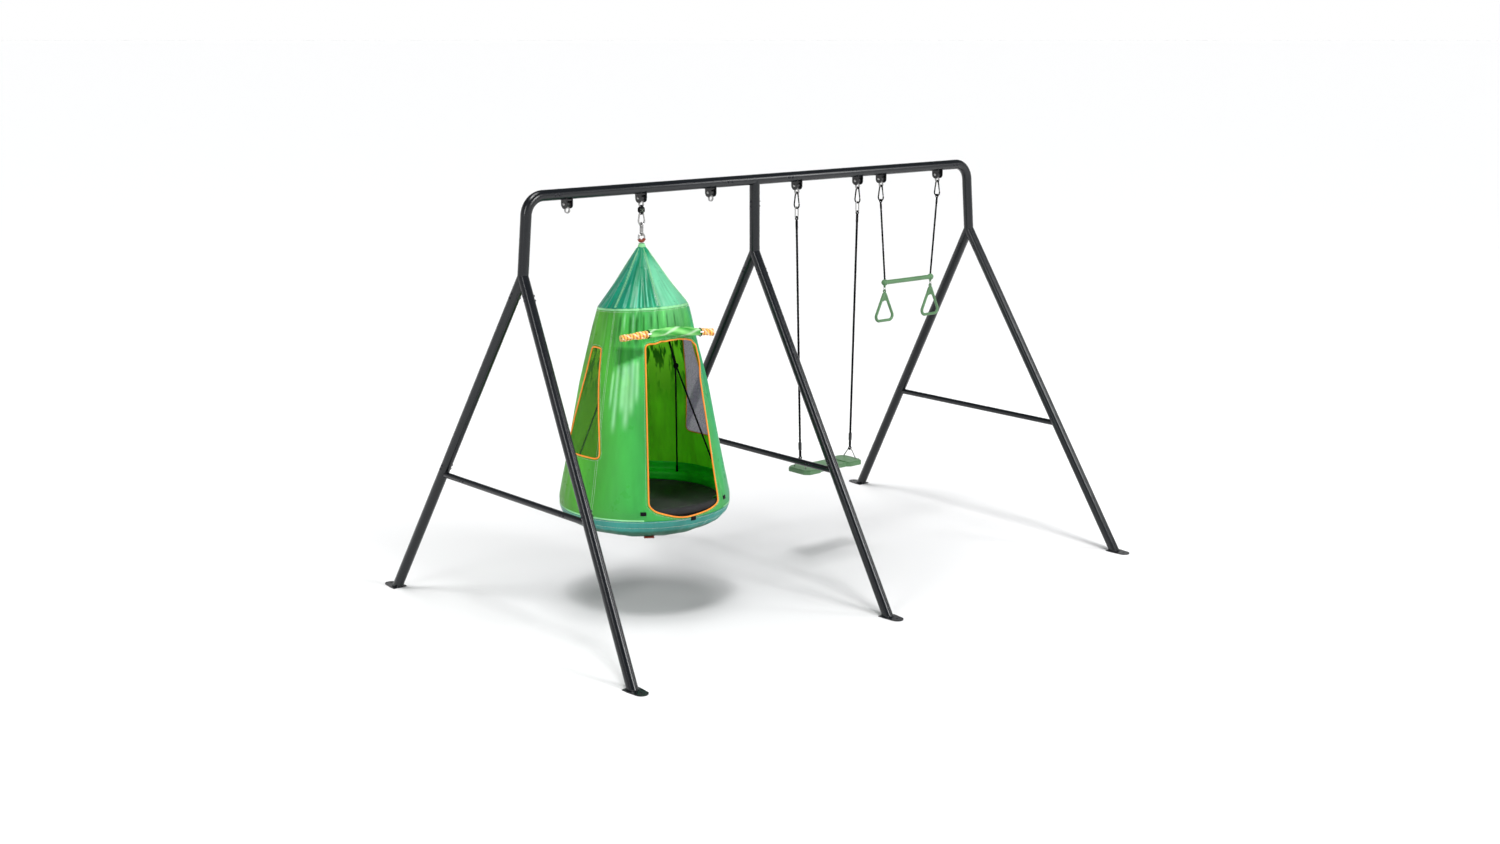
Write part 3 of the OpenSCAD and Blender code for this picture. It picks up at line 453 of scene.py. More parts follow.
wall_cloth = cloth("wall_cloth", (0.085, 0.580, 0.120), 0.33, 0.45, 0.05, glow=(0.22, 0.80, 0.06))


def lining():
    """The wall's inner face: light comes through it, with painted light low down, painted shade higher up and
    painted upright streaks of light and shade.
    """
    s = Shader("wall_lining", (0.075, 0.235, 0.006), 0.5, 0.0, Sheen_Weight=0.1)
    streaks = s.noise(15, 4, 0.6, (1, 1, 0.11))
    # bright painted light low down and deep green painted shade higher up; the offset brings the heights into
    # the ramp
    offset, painted_light_up_to, painted_shade_from = 0.62, 1.00, 1.28
    high = s.ramp(
        s.math("SUBTRACT", s.height(), offset),
        [(painted_light_up_to - offset, 0.0), (painted_shade_from - offset, 1.0)],
    )
    base = s.mixed(high, (0.42, 0.85, 0.05), (0.085, 0.280, 0.006))
    # painted shade in upright streaks, down to 0.6 of the colour
    painted_shade_streaks = s.ramp(streaks, [(0.3, (0.6, 0.6, 0.6)), (0.7, (1, 1, 1))])
    base = s.mixed(0.8, base, painted_shade_streaks, "MULTIPLY")
    # painted highlights: pale lime upright lines, only in the painted shade higher up
    painted_light_lines = s.ramp(s.noise(24, 3, 0.6, (1, 1, 0.09)), [(0.47, 0.0), (0.53, 1.0)])
    base = s.mixed(s.math("MULTIPLY", painted_light_lines, high), base, (0.70, 1.0, 0.10))
    s.link(base, s.bsdf.inputs["Base Color"])
    s.bump(s.noise(46, 5, 0.6, (1, 1, 0.35)), 0.22, 0.004)
    s.lets_light_through(0.68, base)
    return s.mat


wall_inside = lining()
roof_cloth = cloth("roof_cloth", (0.008, 0.330, 0.150), 0.32, 0.20, 0.0, glow=(0.01, 0.40, 0.17))
base_cloth = cloth("base_cloth", (0.026, 0.270, 0.225), 0.42, 0.08, 0.0)
skirt_cloth = cloth("skirt_cloth", (0.004, 0.560, 0.018), 0.5, 0.10, tint=False)
tape_pale = cloth("tape_pale", linear(150, 226, 160), 0.45, 0.25, tint=False)
roll_cloth = cloth("roll_cloth", (1.0, 1.0, 1.0), 0.45, 0.10)
# the grey net gets a painted glow of strength 0.45
net_grey = netting("net_grey", linear(112, 104, 124), 380, 0.12, (0.45, 1.9), 0.45)
net_open = netting("net_open", linear(48, 96, 24), 380, 0.90)
foam_black = moulded("foam_black", linear(24, 24, 26), 0.85, 300)


def floor_net():
    s = Shader("floor_net", linear(17, 17, 19), 0.75, 0.0, Sheen_Weight=0.1)
    s.vary(s.noise(60, 4), 0.6, 1.8)
    both = s.math("MULTIPLY", s.wave(170, "X"), s.wave(170, "Y"))
    s.bump(both, 0.5, 0.0012)
    s.bump(s.noise(9, 3), 0.3, 0.01)
    return s.mat


net_black = floor_net()


def eye_metal():
    """Bright ring below, black nylon sleeve round the hinge above."""
    s = Shader("eye_metal", (0.36, 0.355, 0.35), 0.26, 1.0)
    sleeve_from = 2.1344
    below = s.ramp(s.math("SUBTRACT", s.height(), sleeve_from - 0.5), [(0.4999, 1.0), (0.5001, 0.0)])
    steel = s.vary(s.noise(30, 6), 0.86, 1.08)
    s.link(s.mixed(below, linear(12, 12, 14), steel), s.bsdf.inputs["Base Color"])
    s.link(below, s.bsdf.inputs["Metallic"])
    s.rough(s.noise(90, 4), 0.2, 0.38)
    s.bump(s.noise(360, 3), 0.12, 0.0004)
    return s.mat


eye_steel = eye_metal()

for names, mat in (
    ("left_end_piece right_end_piece left_beam_tube right_beam_tube middle_tee middle_fork", frame_black),
    ("left_upper_legs middle_upper_legs right_upper_legs crossbars saucer_ring", frame_black),
    ("left_front_lower_leg left_rear_lower_leg middle_front_lower_leg", frame_black),
    ("middle_rear_lower_leg right_front_lower_leg right_rear_lower_leg", frame_black),
    ("frame_bolts frame_nuts", bolt_black),
    ("hanger_brackets", bracket_black),
    ("left_spare_eye right_spare_eye pod_eye swing_eyes trapeze_eyes", eye_steel),
    ("pivot_bolts pod_carabiner pod_gate swivel_top swivel_bottom pod_ring", bright_steel),
    ("quick_links seat_triangles left_ring_link right_ring_link", bright_steel),
    ("pivot_bushings", white_nylon),
    ("swing_carabiners left_swing_gate right_swing_gate", clip_black),
    ("trapeze_carabiners left_trapeze_gate right_trapeze_gate", clip_black),
    ("rope_adjusters", black_plastic),
    ("seat_board trapeze_bar ball_ends left_hand_ring right_hand_ring", green_plastic),
):
    for name in names.split():
        data = nodes[name].data
        data.materials.clear()
        data.materials.append(mat)


# ------------------------ places taken from the CAD
BEAM_H = 2.200
POD_X = (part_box("pod_roof")[0].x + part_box("pod_roof")[1].x) / 2
HANGER_X = (-1.332, -0.868, -0.404, 0.210, 0.674, 0.860, 1.324)
SWING_X, TRAPEZE_X = HANGER_X[3:5], HANGER_X[5:7]
SEAT_ROPE_X = (0.247, 0.637)
BALL_X = (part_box("left_hand_ring"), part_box("right_hand_ring"))
BALL_X = tuple((low.x + high.x) / 2 for low, high in BALL_X)
DOOR_TURN = 265.0
RING_R, RING_H = 0.422, 0.585
SPLIT_R, SPLIT_H = 0.205, 1.250
BAR_H = 1.548


def braided(along, angles):
    a = np.sin(4 * angles + along * 2 * math.pi / 0.020)
    b = np.sin(4 * angles - along * 2 * math.pi / 0.020)
    return 1 + 0.06 * np.maximum(a, b) - 0.03


def rope(name, points, radius, body, extras=(), replaces=None):
    """A braided rope along a path, with its eyes, wraps and knots."""
    path = resample(points, 0.0026)
    obj = tube(name, path, radius * 0.95, rope_black, 16, False, braided)
    put(obj, body, replaces)
    for extra in extras:
        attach(extra, body)
    [tuple(p) for p in resample(points, 0.02)]
    return obj


def rope_eye(name, centre, radius, wire, plane, down):
    """A spliced eye, drawn to a point where its two sides meet the rope."""
    points = []
    for k in range(64):
        t = 2 * math.pi * k / 64
        a, b = radius * math.sin(t), radius * math.cos(t)
        pull = max(0.0, -math.cos(t))
        a *= 1 - 0.35 * pull ** 3
        b *= 1 + 0.10 * pull ** 3
        u = (0, a) if plane == "yz" else (a, 0)
        points.append((centre[0] + u[0], centre[1] + u[1], centre[2] + (b if down else -b)))
    return tube(name, points, wire * 0.96, rope_black, 12, True, braided)


def sleeve(name, a, b, radius, material, turns):
    """Thread wound tightly round a rope."""
    a, b = np.array(a, float), np.array(b, float)
    pts = [a + (b - a) * t for t in np.linspace(0, 1, turns * 8 + 1)]
    pitch = np.linalg.norm(b - a) / turns

    def ridges(along, angles):
        return 0.93 + 0.07 * np.abs(np.sin(math.pi * along / pitch + angles / 2))

    return tube(name, pts, radius, material, 16, False, ridges)


# ------------------------ ropes of the two swings
EYE_R = 0.009
LINK_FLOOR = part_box("quick_links")[0].z + 0.006
TRIANGLE_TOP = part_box("seat_triangles")[1].z
for side, word in enumerate(("left", "right")):
    top = Vector((SWING_X[side], 0, LINK_FLOOR))
    low = Vector((SEAT_ROPE_X[side], 0, TRIANGLE_TOP - 0.006))
    start = top + Vector((0, 0, -0.0135))
    end = low + Vector((0, 0, 0.0135))
    way = (end - start).normalized()
    top_eye_at, low_eye_at = (top.x, 0, top.z - 0.005), (low.x, 0, low.z + 0.0047)
    eye_top = rope_eye(f"{word}_swing_rope_top_eye", top_eye_at, EYE_R, 0.004, "yz", True)
    eye_low = rope_eye(f"{word}_swing_rope_low_eye", low_eye_at, EYE_R, 0.004, "xz", False)
    wraps = [
        sleeve(f"{word}_swing_wrap_top", start + way * 0.008, start + way * 0.046, 0.0073, rope_black, 14),
        sleeve(f"{word}_swing_wrap_low", end - way * 0.034, end - way * 0.006, 0.0073, rope_black, 10),
    ]
    rope(
        f"{word}_swing_rope", [start, end], 0.0066, "board_swing",
        extras=[eye_top, eye_low, *wraps], replaces="swing_ropes",
    )

CLIP_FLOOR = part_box("trapeze_carabiners")[0].z + 0.008
for side, word in enumerate(("left", "right")):
    top = Vector((TRAPEZE_X[side], 0, CLIP_FLOOR))
    start = top + Vector((0, 0, -0.015))
    end = Vector((BALL_X[side], 0, BAR_H + 0.0192))
    way = (end - start).normalized()
    eye_at = (top.x, 0, top.z - 0.0054)
    eye = rope_eye(f"{word}_trapeze_rope_eye", eye_at, EYE_R, 0.0035, "xz", True)
    wrap = sleeve(f"{word}_trapeze_wrap", start + way * 0.006, start + way * 0.034, 0.0061, rope_black, 12)
    rope(
        f"{word}_trapeze_rope", [start, end], 0.0056, "trapeze",
        extras=[eye, wrap], replaces="trapeze_ropes",
    )


# ------------------------ ropes of the pod
def polar(r, turn, z):
    """One point round the pod's axis: radius, turn in degrees, height."""
    return Vector((POD_X + r * math.cos(turn * RAD), r * math.sin(turn * RAD), z))


def around_pod(r, t, z):
    """Many points round the pod's axis: radii, turns in radians, heights."""
    return np.stack([POD_X + r * np.cos(t), r * np.sin(t), z + 0 * (r + t)], axis=-1)


def turns_of(co):
    """Each vertex's turn about the pod's axis, 0 to 360 degrees."""
    return np.degrees(np.arctan2(co[:, 1], co[:, 0] - POD_X)) % 360


ring_low, ring_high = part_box("pod_ring")
RING_MID = (ring_low.z + ring_high.z) / 2
ROPE_TOP = RING_MID - 0.019 + 0.0045 - 0.016
for side in (-1, 1):
    word = "left" if side < 0 else "right"
    turn = DOOR_TURN + 90 * side
    start = Vector((POD_X + (0.007 if math.cos(turn * RAD) > 0 else -0.007), 0, ROPE_TOP))
    split = polar(SPLIT_R, turn, SPLIT_H)
    way = (split - start).normalized()
    knot = tube(
        f"{word}_pod_rope_knot",
        [split + Vector((0, 0, z)) for z in (0.016, 0.012, 0.006, 0, -0.006, -0.011, -0.014)],
        lambda s: 0.0148 * math.sqrt(max(0.02, 1 - ((s - 0.015) / 0.0165) ** 2)),
        rope_black, 16, False, braided,
    )
    wrap = sleeve(f"{word}_pod_rope_wrap", split - way * 0.060, split - way * 0.014, 0.0078, rope_black, 16)
    rope(
        f"{word}_pod_rope", [start, split], 0.006, "pod",
        extras=[knot, wrap], replaces="pod_ropes",
    )
    for k in (-1, 1):
        leg_word = f"{word}_{'front' if side * k < 0 else 'rear'}"
        foot_turn = turn + 32 * k
        foot = polar(RING_R - 0.006, foot_turn, RING_H + 0.016)
        from_point = polar(SPLIT_R, turn + k, SPLIT_H)
        # the rope's eye round the ring
        out = Vector((math.cos(foot_turn * RAD), math.sin(foot_turn * RAD), 0))
        hub = polar(RING_R, foot_turn, RING_H)
        circle = [
            hub + out * (0.0172 * math.cos(t)) + Vector((0, 0, 0.0172 * math.sin(t)))
            for t in np.arange(40) * 2 * math.pi / 40
        ]
        grip = tube(f"{leg_word}_grip", circle, 0.0043, rope_black, 12, True, braided)
        step = (from_point - foot).normalized()
        lash = sleeve(f"{leg_word}_lash", foot + step * 0.010, foot + step * 0.048, 0.0062, rope_black, 13)
        rope(
            f"{leg_word}_leg_rope", [from_point, foot], 0.005, "pod",
            extras=[grip, lash],
        )

# cord wound round the bottom of the steel ring
coil = []
for t in np.linspace(0, 1, 900):
    around = (205 + 130 * t) * RAD
    spin = 2 * math.pi * 24 * t
    reach = 0.019 + 0.0066 * math.cos(spin)
    coil.append((
        POD_X + reach * math.cos(around),
        0.0066 * math.sin(spin),
        RING_MID + reach * math.sin(around),
    ))
ring_wrap = tube("pod_ring_wrap", coil, 0.0021, rope_brown, 8)
put(ring_wrap, "pod")


# ------------------------ shape of the tent
EAVE_H, SEAM_H = 1.600, 0.550
WALL_Z = np.array([0.550, 0.575, 0.596, 0.700, 0.931, 1.200, 1.400, 1.520, 1.555, 1.580, 1.600])
WALL_R = np.array([0.449, 0.4515, 0.4515, 0.4305, 0.3838, 0.3295, 0.2822, 0.2543, 0.2455, 0.2392, 0.2322])
PANEL_SEAMS = (-130, -70, 50, 110, 170)
U_SCALE = 0.0063  # metres of flat pattern to a degree of turn


def wall_radius(z):
    return np.interp(z, WALL_Z, WALL_R)


def leaning(a, z, middle, width):
    """A pleat that leans 5 degrees of turn to a metre of height."""
    return hump(a - middle - 5 * (z - 1.2), 0, width)


def folds(a, z):
    """How far the cloth stands off its cone: hanging folds, gathers and creases."""
    t = a * RAD
    gather = smooth_step(1.02, 1.52, z) * (1 - 0.55 * smooth_step(1.575, 1.600, z))
    front = 0.55 + 0.45 * np.cos(t - 0.25)
    hung = np.sin(math.pi * np.clip((z - 0.60) / 0.98, 0, 1)) ** 0.7
    low = hump(z, 0.68, 0.09)
    d = gather * front * (
        0.0030 * np.sin(19 * t + 0.6 + 1.5 * z)
        + 0.0026 * np.sin(31 * t + 2.1 - 2.0 * z)
        + 0.0016 * np.sin(47 * t + 4.0 + 3.0 * z)
    )
    d += hung * (
        0.0040 * np.sin(7 * t + 1.3 + 0.9 * z)
        + 0.0030 * np.sin(11 * t + 0.2 - 1.6 * z)
        + 0.0018 * np.sin(18 * t + 3.3 + 2.2 * z)
    )
    d += low * (0.0011 * np.sin(38 * t + 0.4) + 0.0009 * np.sin(57 * t + 1.9))
    # upright pleats where the gathered top hangs down beside the door
    pleats = plateau(z, 0.86, 1.25, 1.54, 1.60)
    for middle, width, depth in (
        (-63, 1.5, 0.0050), (-57, 1.1, -0.0040), (-52, 1.6, 0.0070), (-47.5, 1.2, -0.0055),
        (-43, 1.5, 0.0065), (-38.5, 1.1, -0.0050), (-34.5, 1.2, 0.0045), (36, 1.3, 0.0045),
        (42, 1.4, -0.0040), (48, 1.6, 0.0050), (-26, 1.2, -0.0045), (-21, 1.3, 0.0050),
        (-14, 1.2, -0.0040), (-9, 1.4, 0.0050), (-2, 1.2, -0.0040), (4, 1.4, 0.0045),
        (11, 1.2, -0.0035), (17, 1.4, 0.0045), (24, 1.3, -0.0040), (30, 1.3, 0.0040),
    ):
        d += depth * pleats * leaning(a, z, middle, width)
    # slack diagonal drags from the door's top corners
    for side in (-1, 1):
        across = (a - side * 34) - side * (1.40 - z) * 26
        d += 0.0032 * hump(across, 0, 3.2) * plateau(z, 1.02, 1.36, 1.42, 1.50)
    # panel seams pull in a little
    for seam in PANEL_SEAMS:
        d -= 0.0022 * hump(a, seam, 1.5) * smooth_step(0.60, 0.66, z)
    return d - 0.0015


def lift(turn):
    """The eave isn't sewn quite level: how much higher it sits at a turn, in metres."""
    return 0.015 * np.cos((turn - 233) * RAD) + 0.010 * np.cos((turn - 323) * RAD)


def on_wall(a, z, off=0.0):
    """Points on the cloth: a is degrees from the door's middle, z the height."""
    a, z = np.asarray(a, float), np.asarray(z, float)
    r = wall_radius(z) + folds(a, z) * smooth_step(0.550, 0.64, z) + off
    turn = (DOOR_TURN + a) * RAD
    up = z + lift(DOOR_TURN + a) * smooth_step(1.47, 1.60, z)
    return around_pod(r, turn, up)


def rounded(corners, radii, step=0.006):
    """A closed outline with rounded corners, in (u, z), both in metres."""
    out, n = [], len(corners)
    for i in range(n):
        p, q, r = (np.array(corners[(i + k) % n], float) for k in (-1, 0, 1))
        to_p, to_r = p - q, r - q
        size = min(radii[i], 0.45 * np.linalg.norm(to_p), 0.45 * np.linalg.norm(to_r))
        a = q + to_p / np.linalg.norm(to_p) * size
        b = q + to_r / np.linalg.norm(to_r) * size
        for t in np.linspace(0, 1, 9):
            out.append((1 - t) ** 2 * a + 2 * t * (1 - t) * q + t * t * b)
    return resample(out, step, True)


def window(side):
    """A window's outline: (degrees scaled, height)."""
    corners = []
    for half, z in ((-0.155, 0.850), (0.155, 0.850), (0.042, 1.400), (-0.042, 1.400)):
        turn = math.degrees(math.asin(half / wall_radius(z)))
        corners.append(((side * 90 + turn) * U_SCALE, z))
    return rounded(corners, (0.035, 0.035, 0.018, 0.018))


def flat_u(side, z):
    """The pattern's sideways place of a point that lies this far beside the middle."""
    return math.degrees(math.asin(side / wall_radius(z))) * U_SCALE


door_outline = rounded(
    [(-29.9 * U_SCALE, 1.432), (-29.9 * U_SCALE, 1.0), (-29.9 * U_SCALE, 0.630)]
    + [(flat_u(x, z), z) for x, z in (
        (-0.196, 0.601), (-0.150, 0.584), (-0.095, 0.567), (-0.045, 0.559), (0.000, 0.561),
        (0.100, 0.571), (0.160, 0.584), (0.192, 0.600), (0.197, 0.640), (0.192, 0.800),
        (0.188, 1.000), (0.183, 1.200), (0.179, 1.370), (0.170, 1.402), (0.148, 1.426),
        (0.100, 1.442), (0.040, 1.449), (-0.050, 1.447), (-0.100, 1.436),
    )],
    (0.040, 0.02, 0.040) + (0.03,) * 19,
)
window_outlines = {-1: window(-1), 1: window(1)}


def inside(points, outline):
    """Even-odd test of many points against one outline."""
    x, y = points[:, 0], points[:, 1]
    result = np.zeros(len(points), bool)
    a, b = outline, np.roll(outline, -1, 0)
    for (x0, y0), (x1, y1) in zip(a, b):
        if y0 == y1:
            continue
        crosses = ((y0 > y) != (y1 > y)) & (x < (x1 - x0) * (y - y0) / (y1 - y0) + x0)
        result ^= crosses
    return result


def near(points, outline, gap):
    close = np.zeros(len(points), bool)
    for p in outline:
        close |= ((points - p) ** 2).sum(1) < gap * gap
    return close


def cut_cloth(grid, outlines, keep):
    """Triangles of a flat pattern whose edges follow the outlines exactly."""
    for outline in outlines:
        grid = grid[~near(grid, outline, 0.0042)]
    points = [tuple(p) for p in grid]
    edges = []
    for outline in outlines:
        base = len(points)
        points += [tuple(p) for p in outline]
        n = len(outline)
        edges += [(base + i, base + (i + 1) % n) for i in range(n)]
    made = delaunay_2d_cdt([Vector(p) for p in points], edges, [], 0, 1e-7, False)
    flat = np.array([tuple(v) for v in made[0]])
    faces = np.array([tuple(f) for f in made[2]])
    middle = flat[faces].mean(1)
    faces = faces[keep(middle)]
    used, faces = np.unique(faces, return_inverse=True)
    return flat[used], faces.reshape(-1, 3)


def drop_doubles(obj, distance=0.0002):
    import bmesh
    b = bmesh.new()
    b.from_mesh(obj.data)
    bmesh.ops.remove_doubles(b, verts=b.verts, dist=distance)
    bmesh.ops.recalc_face_normals(b, faces=b.faces)
    b.to_mesh(obj.data)
    b.free()


# ------------------------ tent wall
columns = np.concatenate([
    np.linspace(-180, -80, 56)[:-1], np.linspace(-80, 60, 176)[:-1], np.linspace(60, 180, 67)
]) * U_SCALE
rows = np.concatenate([np.linspace(SEAM_H, 0.60, 6)[:-1], np.linspace(0.60, EAVE_H - 0.001, 92)])
grid = np.array([(u, z) for z in rows for u in columns])
outlines = [door_outline, window_outlines[-1], window_outlines[1]]


def not_in_openings(p):
    return ~(inside(p, outlines[0]) | inside(p, outlines[1]) | inside(p, outlines[2]))


flat, faces = cut_cloth(grid, outlines, not_in_openings)
turns = flat[:, 0] / U_SCALE
wall = mesh_object("tent_wall", on_wall(turns, flat[:, 1]), faces[:, ::-1], wall_cloth)
drop_doubles(wall)


def paint_wall(obj):
    """Lime on the left, green in front, teal on the right; over that, painted light near the top, a painted
    shadow under the rolled door, and painted highlights and painted shade along the pleats.
    """
    co = coordinates(obj)
    a = (turns_of(co) - DOOR_TURN + 180) % 360 - 180
    z = co[:, 2]
    lime, mid, teal = (1.30, 0.86, 0.20), (0.80, 0.98, 1.00), (0.55, 0.86, 2.00)
    painted_light_under_roof, painted_roll_shadow = (2.6, 1.25, 2.2), (0.05, 0.34, 0.07)
    painted_fold_highlight, painted_fold_shade = (4.6, 1.60, 4.2), (0.10, 0.30, 0.10)
    c = blend(np.array(lime), mid, plateau(a, -110, -20, 130, 180))
    c = blend(c, teal, plateau(a, 28, 52, 150, 180))
    patch = 0.5 + 0.5 * np.sin(a * RAD * 5 + 2.5 * z + 1.2) * np.sin(z * 7 + a * RAD * 3)
    c = c * (0.86 + 0.24 * patch)[:, None]
    # painted light: paler cloth near the top, in front
    c = blend(c, painted_light_under_roof, 0.6 * smooth_step(1.40, 1.55, z) * hump(a, 6, 32))
    # painted shadow of the rolled door's left end on the cloth; its lower edge rises to the right
    rise = z - 0.0021 * (a + 60)
    painted_shadow_wedge = smooth_step(1.318, 1.330, rise) * (1 - smooth_step(1.405, 1.425, z))
    c = blend(c, painted_roll_shadow, 0.75 * painted_shadow_wedge * plateau(a, -65, -57, -34, -29))
    # painted highlights along the pleats and painted shade between them
    for middle, width, high, low, goal in (
        (-57, 1.3, 1.33, 1.00, painted_fold_highlight), (-50.5, 1.7, 1.34, 1.10, painted_fold_highlight),
        (-47, 1.5, 1.34, 1.02, painted_fold_highlight), (-43, 1.6, 1.36, 1.09, painted_fold_highlight),
        (-38.5, 1.2, 1.36, 1.15, painted_fold_highlight), (-62, 0.9, 1.30, 1.12, painted_fold_highlight),
        (-61, 0.9, 1.58, 1.46, painted_fold_shade), (-49, 1.0, 1.58, 1.44, painted_fold_shade),
        (-41, 1.0, 1.58, 1.44, painted_fold_shade), (-33, 1.0, 1.59, 1.46, painted_fold_shade),
        (-45, 0.9, 1.59, 1.48, painted_fold_highlight), (-56, 0.8, 1.59, 1.50, painted_fold_highlight),
        (-24, 0.9, 1.59, 1.50, painted_fold_shade), (-16, 0.9, 1.59, 1.50, painted_fold_shade),
        (-4, 0.8, 1.59, 1.50, painted_fold_shade), (8, 0.8, 1.59, 1.50, painted_fold_shade),
    ):
        along = plateau(z, low - 0.03, low + 0.05, high - 0.03, high + 0.01)
        c = blend(c, goal, 0.95 * along * leaning(a, z, middle, 1.35 * width))
    colours(obj, c)


paint_wall(wall)
solid(wall, 0.0014, -1.0, wall_inside)
put(wall, "pod", "pod_wall")


# ------------------------ piping, stitches, eave tape
def edge_points(outline, off):
    return on_wall(outline[:, 0] / U_SCALE, outline[:, 1], off)


piping = []
for outline in outlines:
    piping.append(tube_mesh(resample(edge_points(outline, 0.0008), 0.006, True), 0.0042, 8, True))
door_piping = joined("tent_piping", piping, piping_orange)
put(door_piping, "pod")


def offset_outline(outline, gap):
    nxt, prv = np.roll(outline, -1, 0), np.roll(outline, 1, 0)
    t = nxt - prv
    t /= np.linalg.norm(t, axis=1)[:, None]
    return outline + gap * np.stack([t[:, 1], -t[:, 0]], axis=1)


def stitch_row(points, closed, length=0.0052, pitch=0.0085, size=0.0007):
    """Short raised threads along a line."""
    line = resample(points, pitch, closed)
    parts = []
    n = len(line)
    for i in range(n if closed else n - 1):
        p, q = line[i], line[(i + 1) % n]
        d = (q - p) / np.linalg.norm(q - p)
        parts.append(tube_mesh([p, p + d * length * 0.5, p + d * length], size, 4))
    return parts


rows_of_thread = []
for outline in outlines:
    wide = offset_outline(outline, 0.011)
    rows_of_thread += stitch_row(on_wall(wide[:, 0] / U_SCALE, wide[:, 1], 0.0006), True)
for seam in PANEL_SEAMS:
    z = np.linspace(0.565, 1.588, 120)
    for gap in (-0.8, 0.8):
        rows_of_thread += stitch_row(on_wall(np.full_like(z, seam + gap), z, 0.0006), False)
around = np.linspace(-180, 180, 361)[:-1]
for z in (0.556, 1.583):
    line = on_wall(around, np.full_like(around, z), 0.0006)
    if z < 0.6:
        line = on_wall(np.linspace(34, 326, 300), np.full(300, z), 0.0006)
    rows_of_thread += stitch_row(line, z > 1)
stitches = joined("tent_stitches", rows_of_thread, thread_pale)
put(stitches, "pod")


def band(name, low, high, off, material, steps=5, a=None):
    """A strip of tape laid on the cloth."""
    a = np.linspace(-180, 180, 241) if a is None else a
    zs = np.linspace(low, high, steps)
    pts = np.array([on_wall(a, np.full_like(a, z), off) for z in zs])
    obj = mesh_object(name, pts.reshape(-1, 3), grid_faces(steps, len(a)), material)
    drop_doubles(obj)
    solid(obj, 0.0012, 1.0)
    put(obj, "pod")
    return obj


eave_tape = band("tent_eave_tape", 1.588, 1.599, 0.0006, tape_pale)
hem_tape = band("tent_hem_tape", 0.5505, 0.559, 0.0004, tape_pale, 3, np.linspace(33, 327, 260))


# ------------------------ windows
for side, word in ((-1, "left"), (1, "right")):
    outline = window_outlines[side]
    lo, hi = outline.min(0), outline.max(0)
    cells = np.array([
        (u, z)
        for z in np.arange(lo[1] + 0.006, hi[1], 0.013)
        for u in np.arange(lo[0] + 0.006, hi[0], 0.013)
    ])
    cells = cells[inside(cells, outline)]
    flat_net, net_faces = cut_cloth(cells, [outline], lambda p: inside(p, outline))
    turn = flat_net[:, 0] / U_SCALE
    edge = np.min(((flat_net[:, None, :] - outline[None, ::3, :]) ** 2).sum(2), axis=1) ** 0.5
    slack = -0.0018 - 0.004 * smooth_step(0.0, 0.07, edge)
    net = mesh_object(
        f"{word}_window_net", on_wall(turn, flat_net[:, 1], slack), net_faces[:, ::-1],
        net_grey if side > 0 else net_open
    )
    put(net, "pod", "window_meshes")


# ------------------------ webbing tabs
tabs = []
TAB_STEPS = 5
for turn, z in ((231.5, 0.592), (266.0, 0.546), (299.5, 0.604)):
    verts = []
    for j in range(TAB_STEPS):
        for i in range(TAB_STEPS):
            sideways = i / (TAB_STEPS - 1) - 0.5
            du, dz = sideways * 0.030, (j / (TAB_STEPS - 1) - 0.5) * 0.019
            puff = 0.0022 + 0.0014 * math.cos(math.pi * sideways)
            verts.append(on_wall(turn - DOOR_TURN + du / 0.45 / RAD, z + dz, puff))
    faces = grid_faces(TAB_STEPS, TAB_STEPS)
    tab = mesh_object(f"tent_tab_{len(tabs) + 1}", verts, faces, webbing_black)
    solid(tab, 0.0022, 0.0)
    put(tab, "pod")
    tabs.append(tab)


# ------------------------ roof
PEAK_H = 1.903
PEAK_R, EAVE_R = 0.0195, 0.2335
SEAMS = [195 + 60 * k for k in range(6)]


def roof_point(turn, s, off=0.0):
    """Turn in degrees about the pod's axis, s from 0 at the peak to 1 at the eave."""
    turn, s = np.asarray(turn, float), np.asarray(s, float)
    r = PEAK_R + (EAVE_R - PEAK_R) * s
    z = PEAK_H + (EAVE_H - 0.001 - PEAK_H) * s
    panel = (turn - 195) * RAD * 6
    hollow = 0.5 * (1 - np.cos(panel))
    dip = 0.0012 + 0.030 * r * hollow * np.sin(math.pi * np.clip(s, 0, 1)) ** 0.6
    dip += 0.0035 * np.sin(math.pi * s)
    t = (turn - DOOR_TURN) * RAD
    ripple = s ** 2.2 * (1 - 0.6 * smooth_step(0.95, 1.0, s)) * (0.6 + 0.4 * np.cos(t)) * (
        0.0026 * np.sin(29 * t + 0.5) + 0.0018 * np.sin(43 * t + 2.0)
    )
    ripple += 0.0016 * np.sin(2 * panel + 7 * s) * np.sin(math.pi * s)
    d = -dip + ripple + off
    slope = math.atan2(0.302, 0.214)
    rr = r + d * math.sin(slope)
    zz = z + d * math.cos(slope) + lift(turn) * s ** 1.5
    return around_pod(rr, turn * RAD, zz)


count_a, count_s = 360, 40
verts = []
for j in range(count_s + 1):
    verts.extend(roof_point(np.arange(count_a) * 360 / count_a, np.full(count_a, j / count_s)))
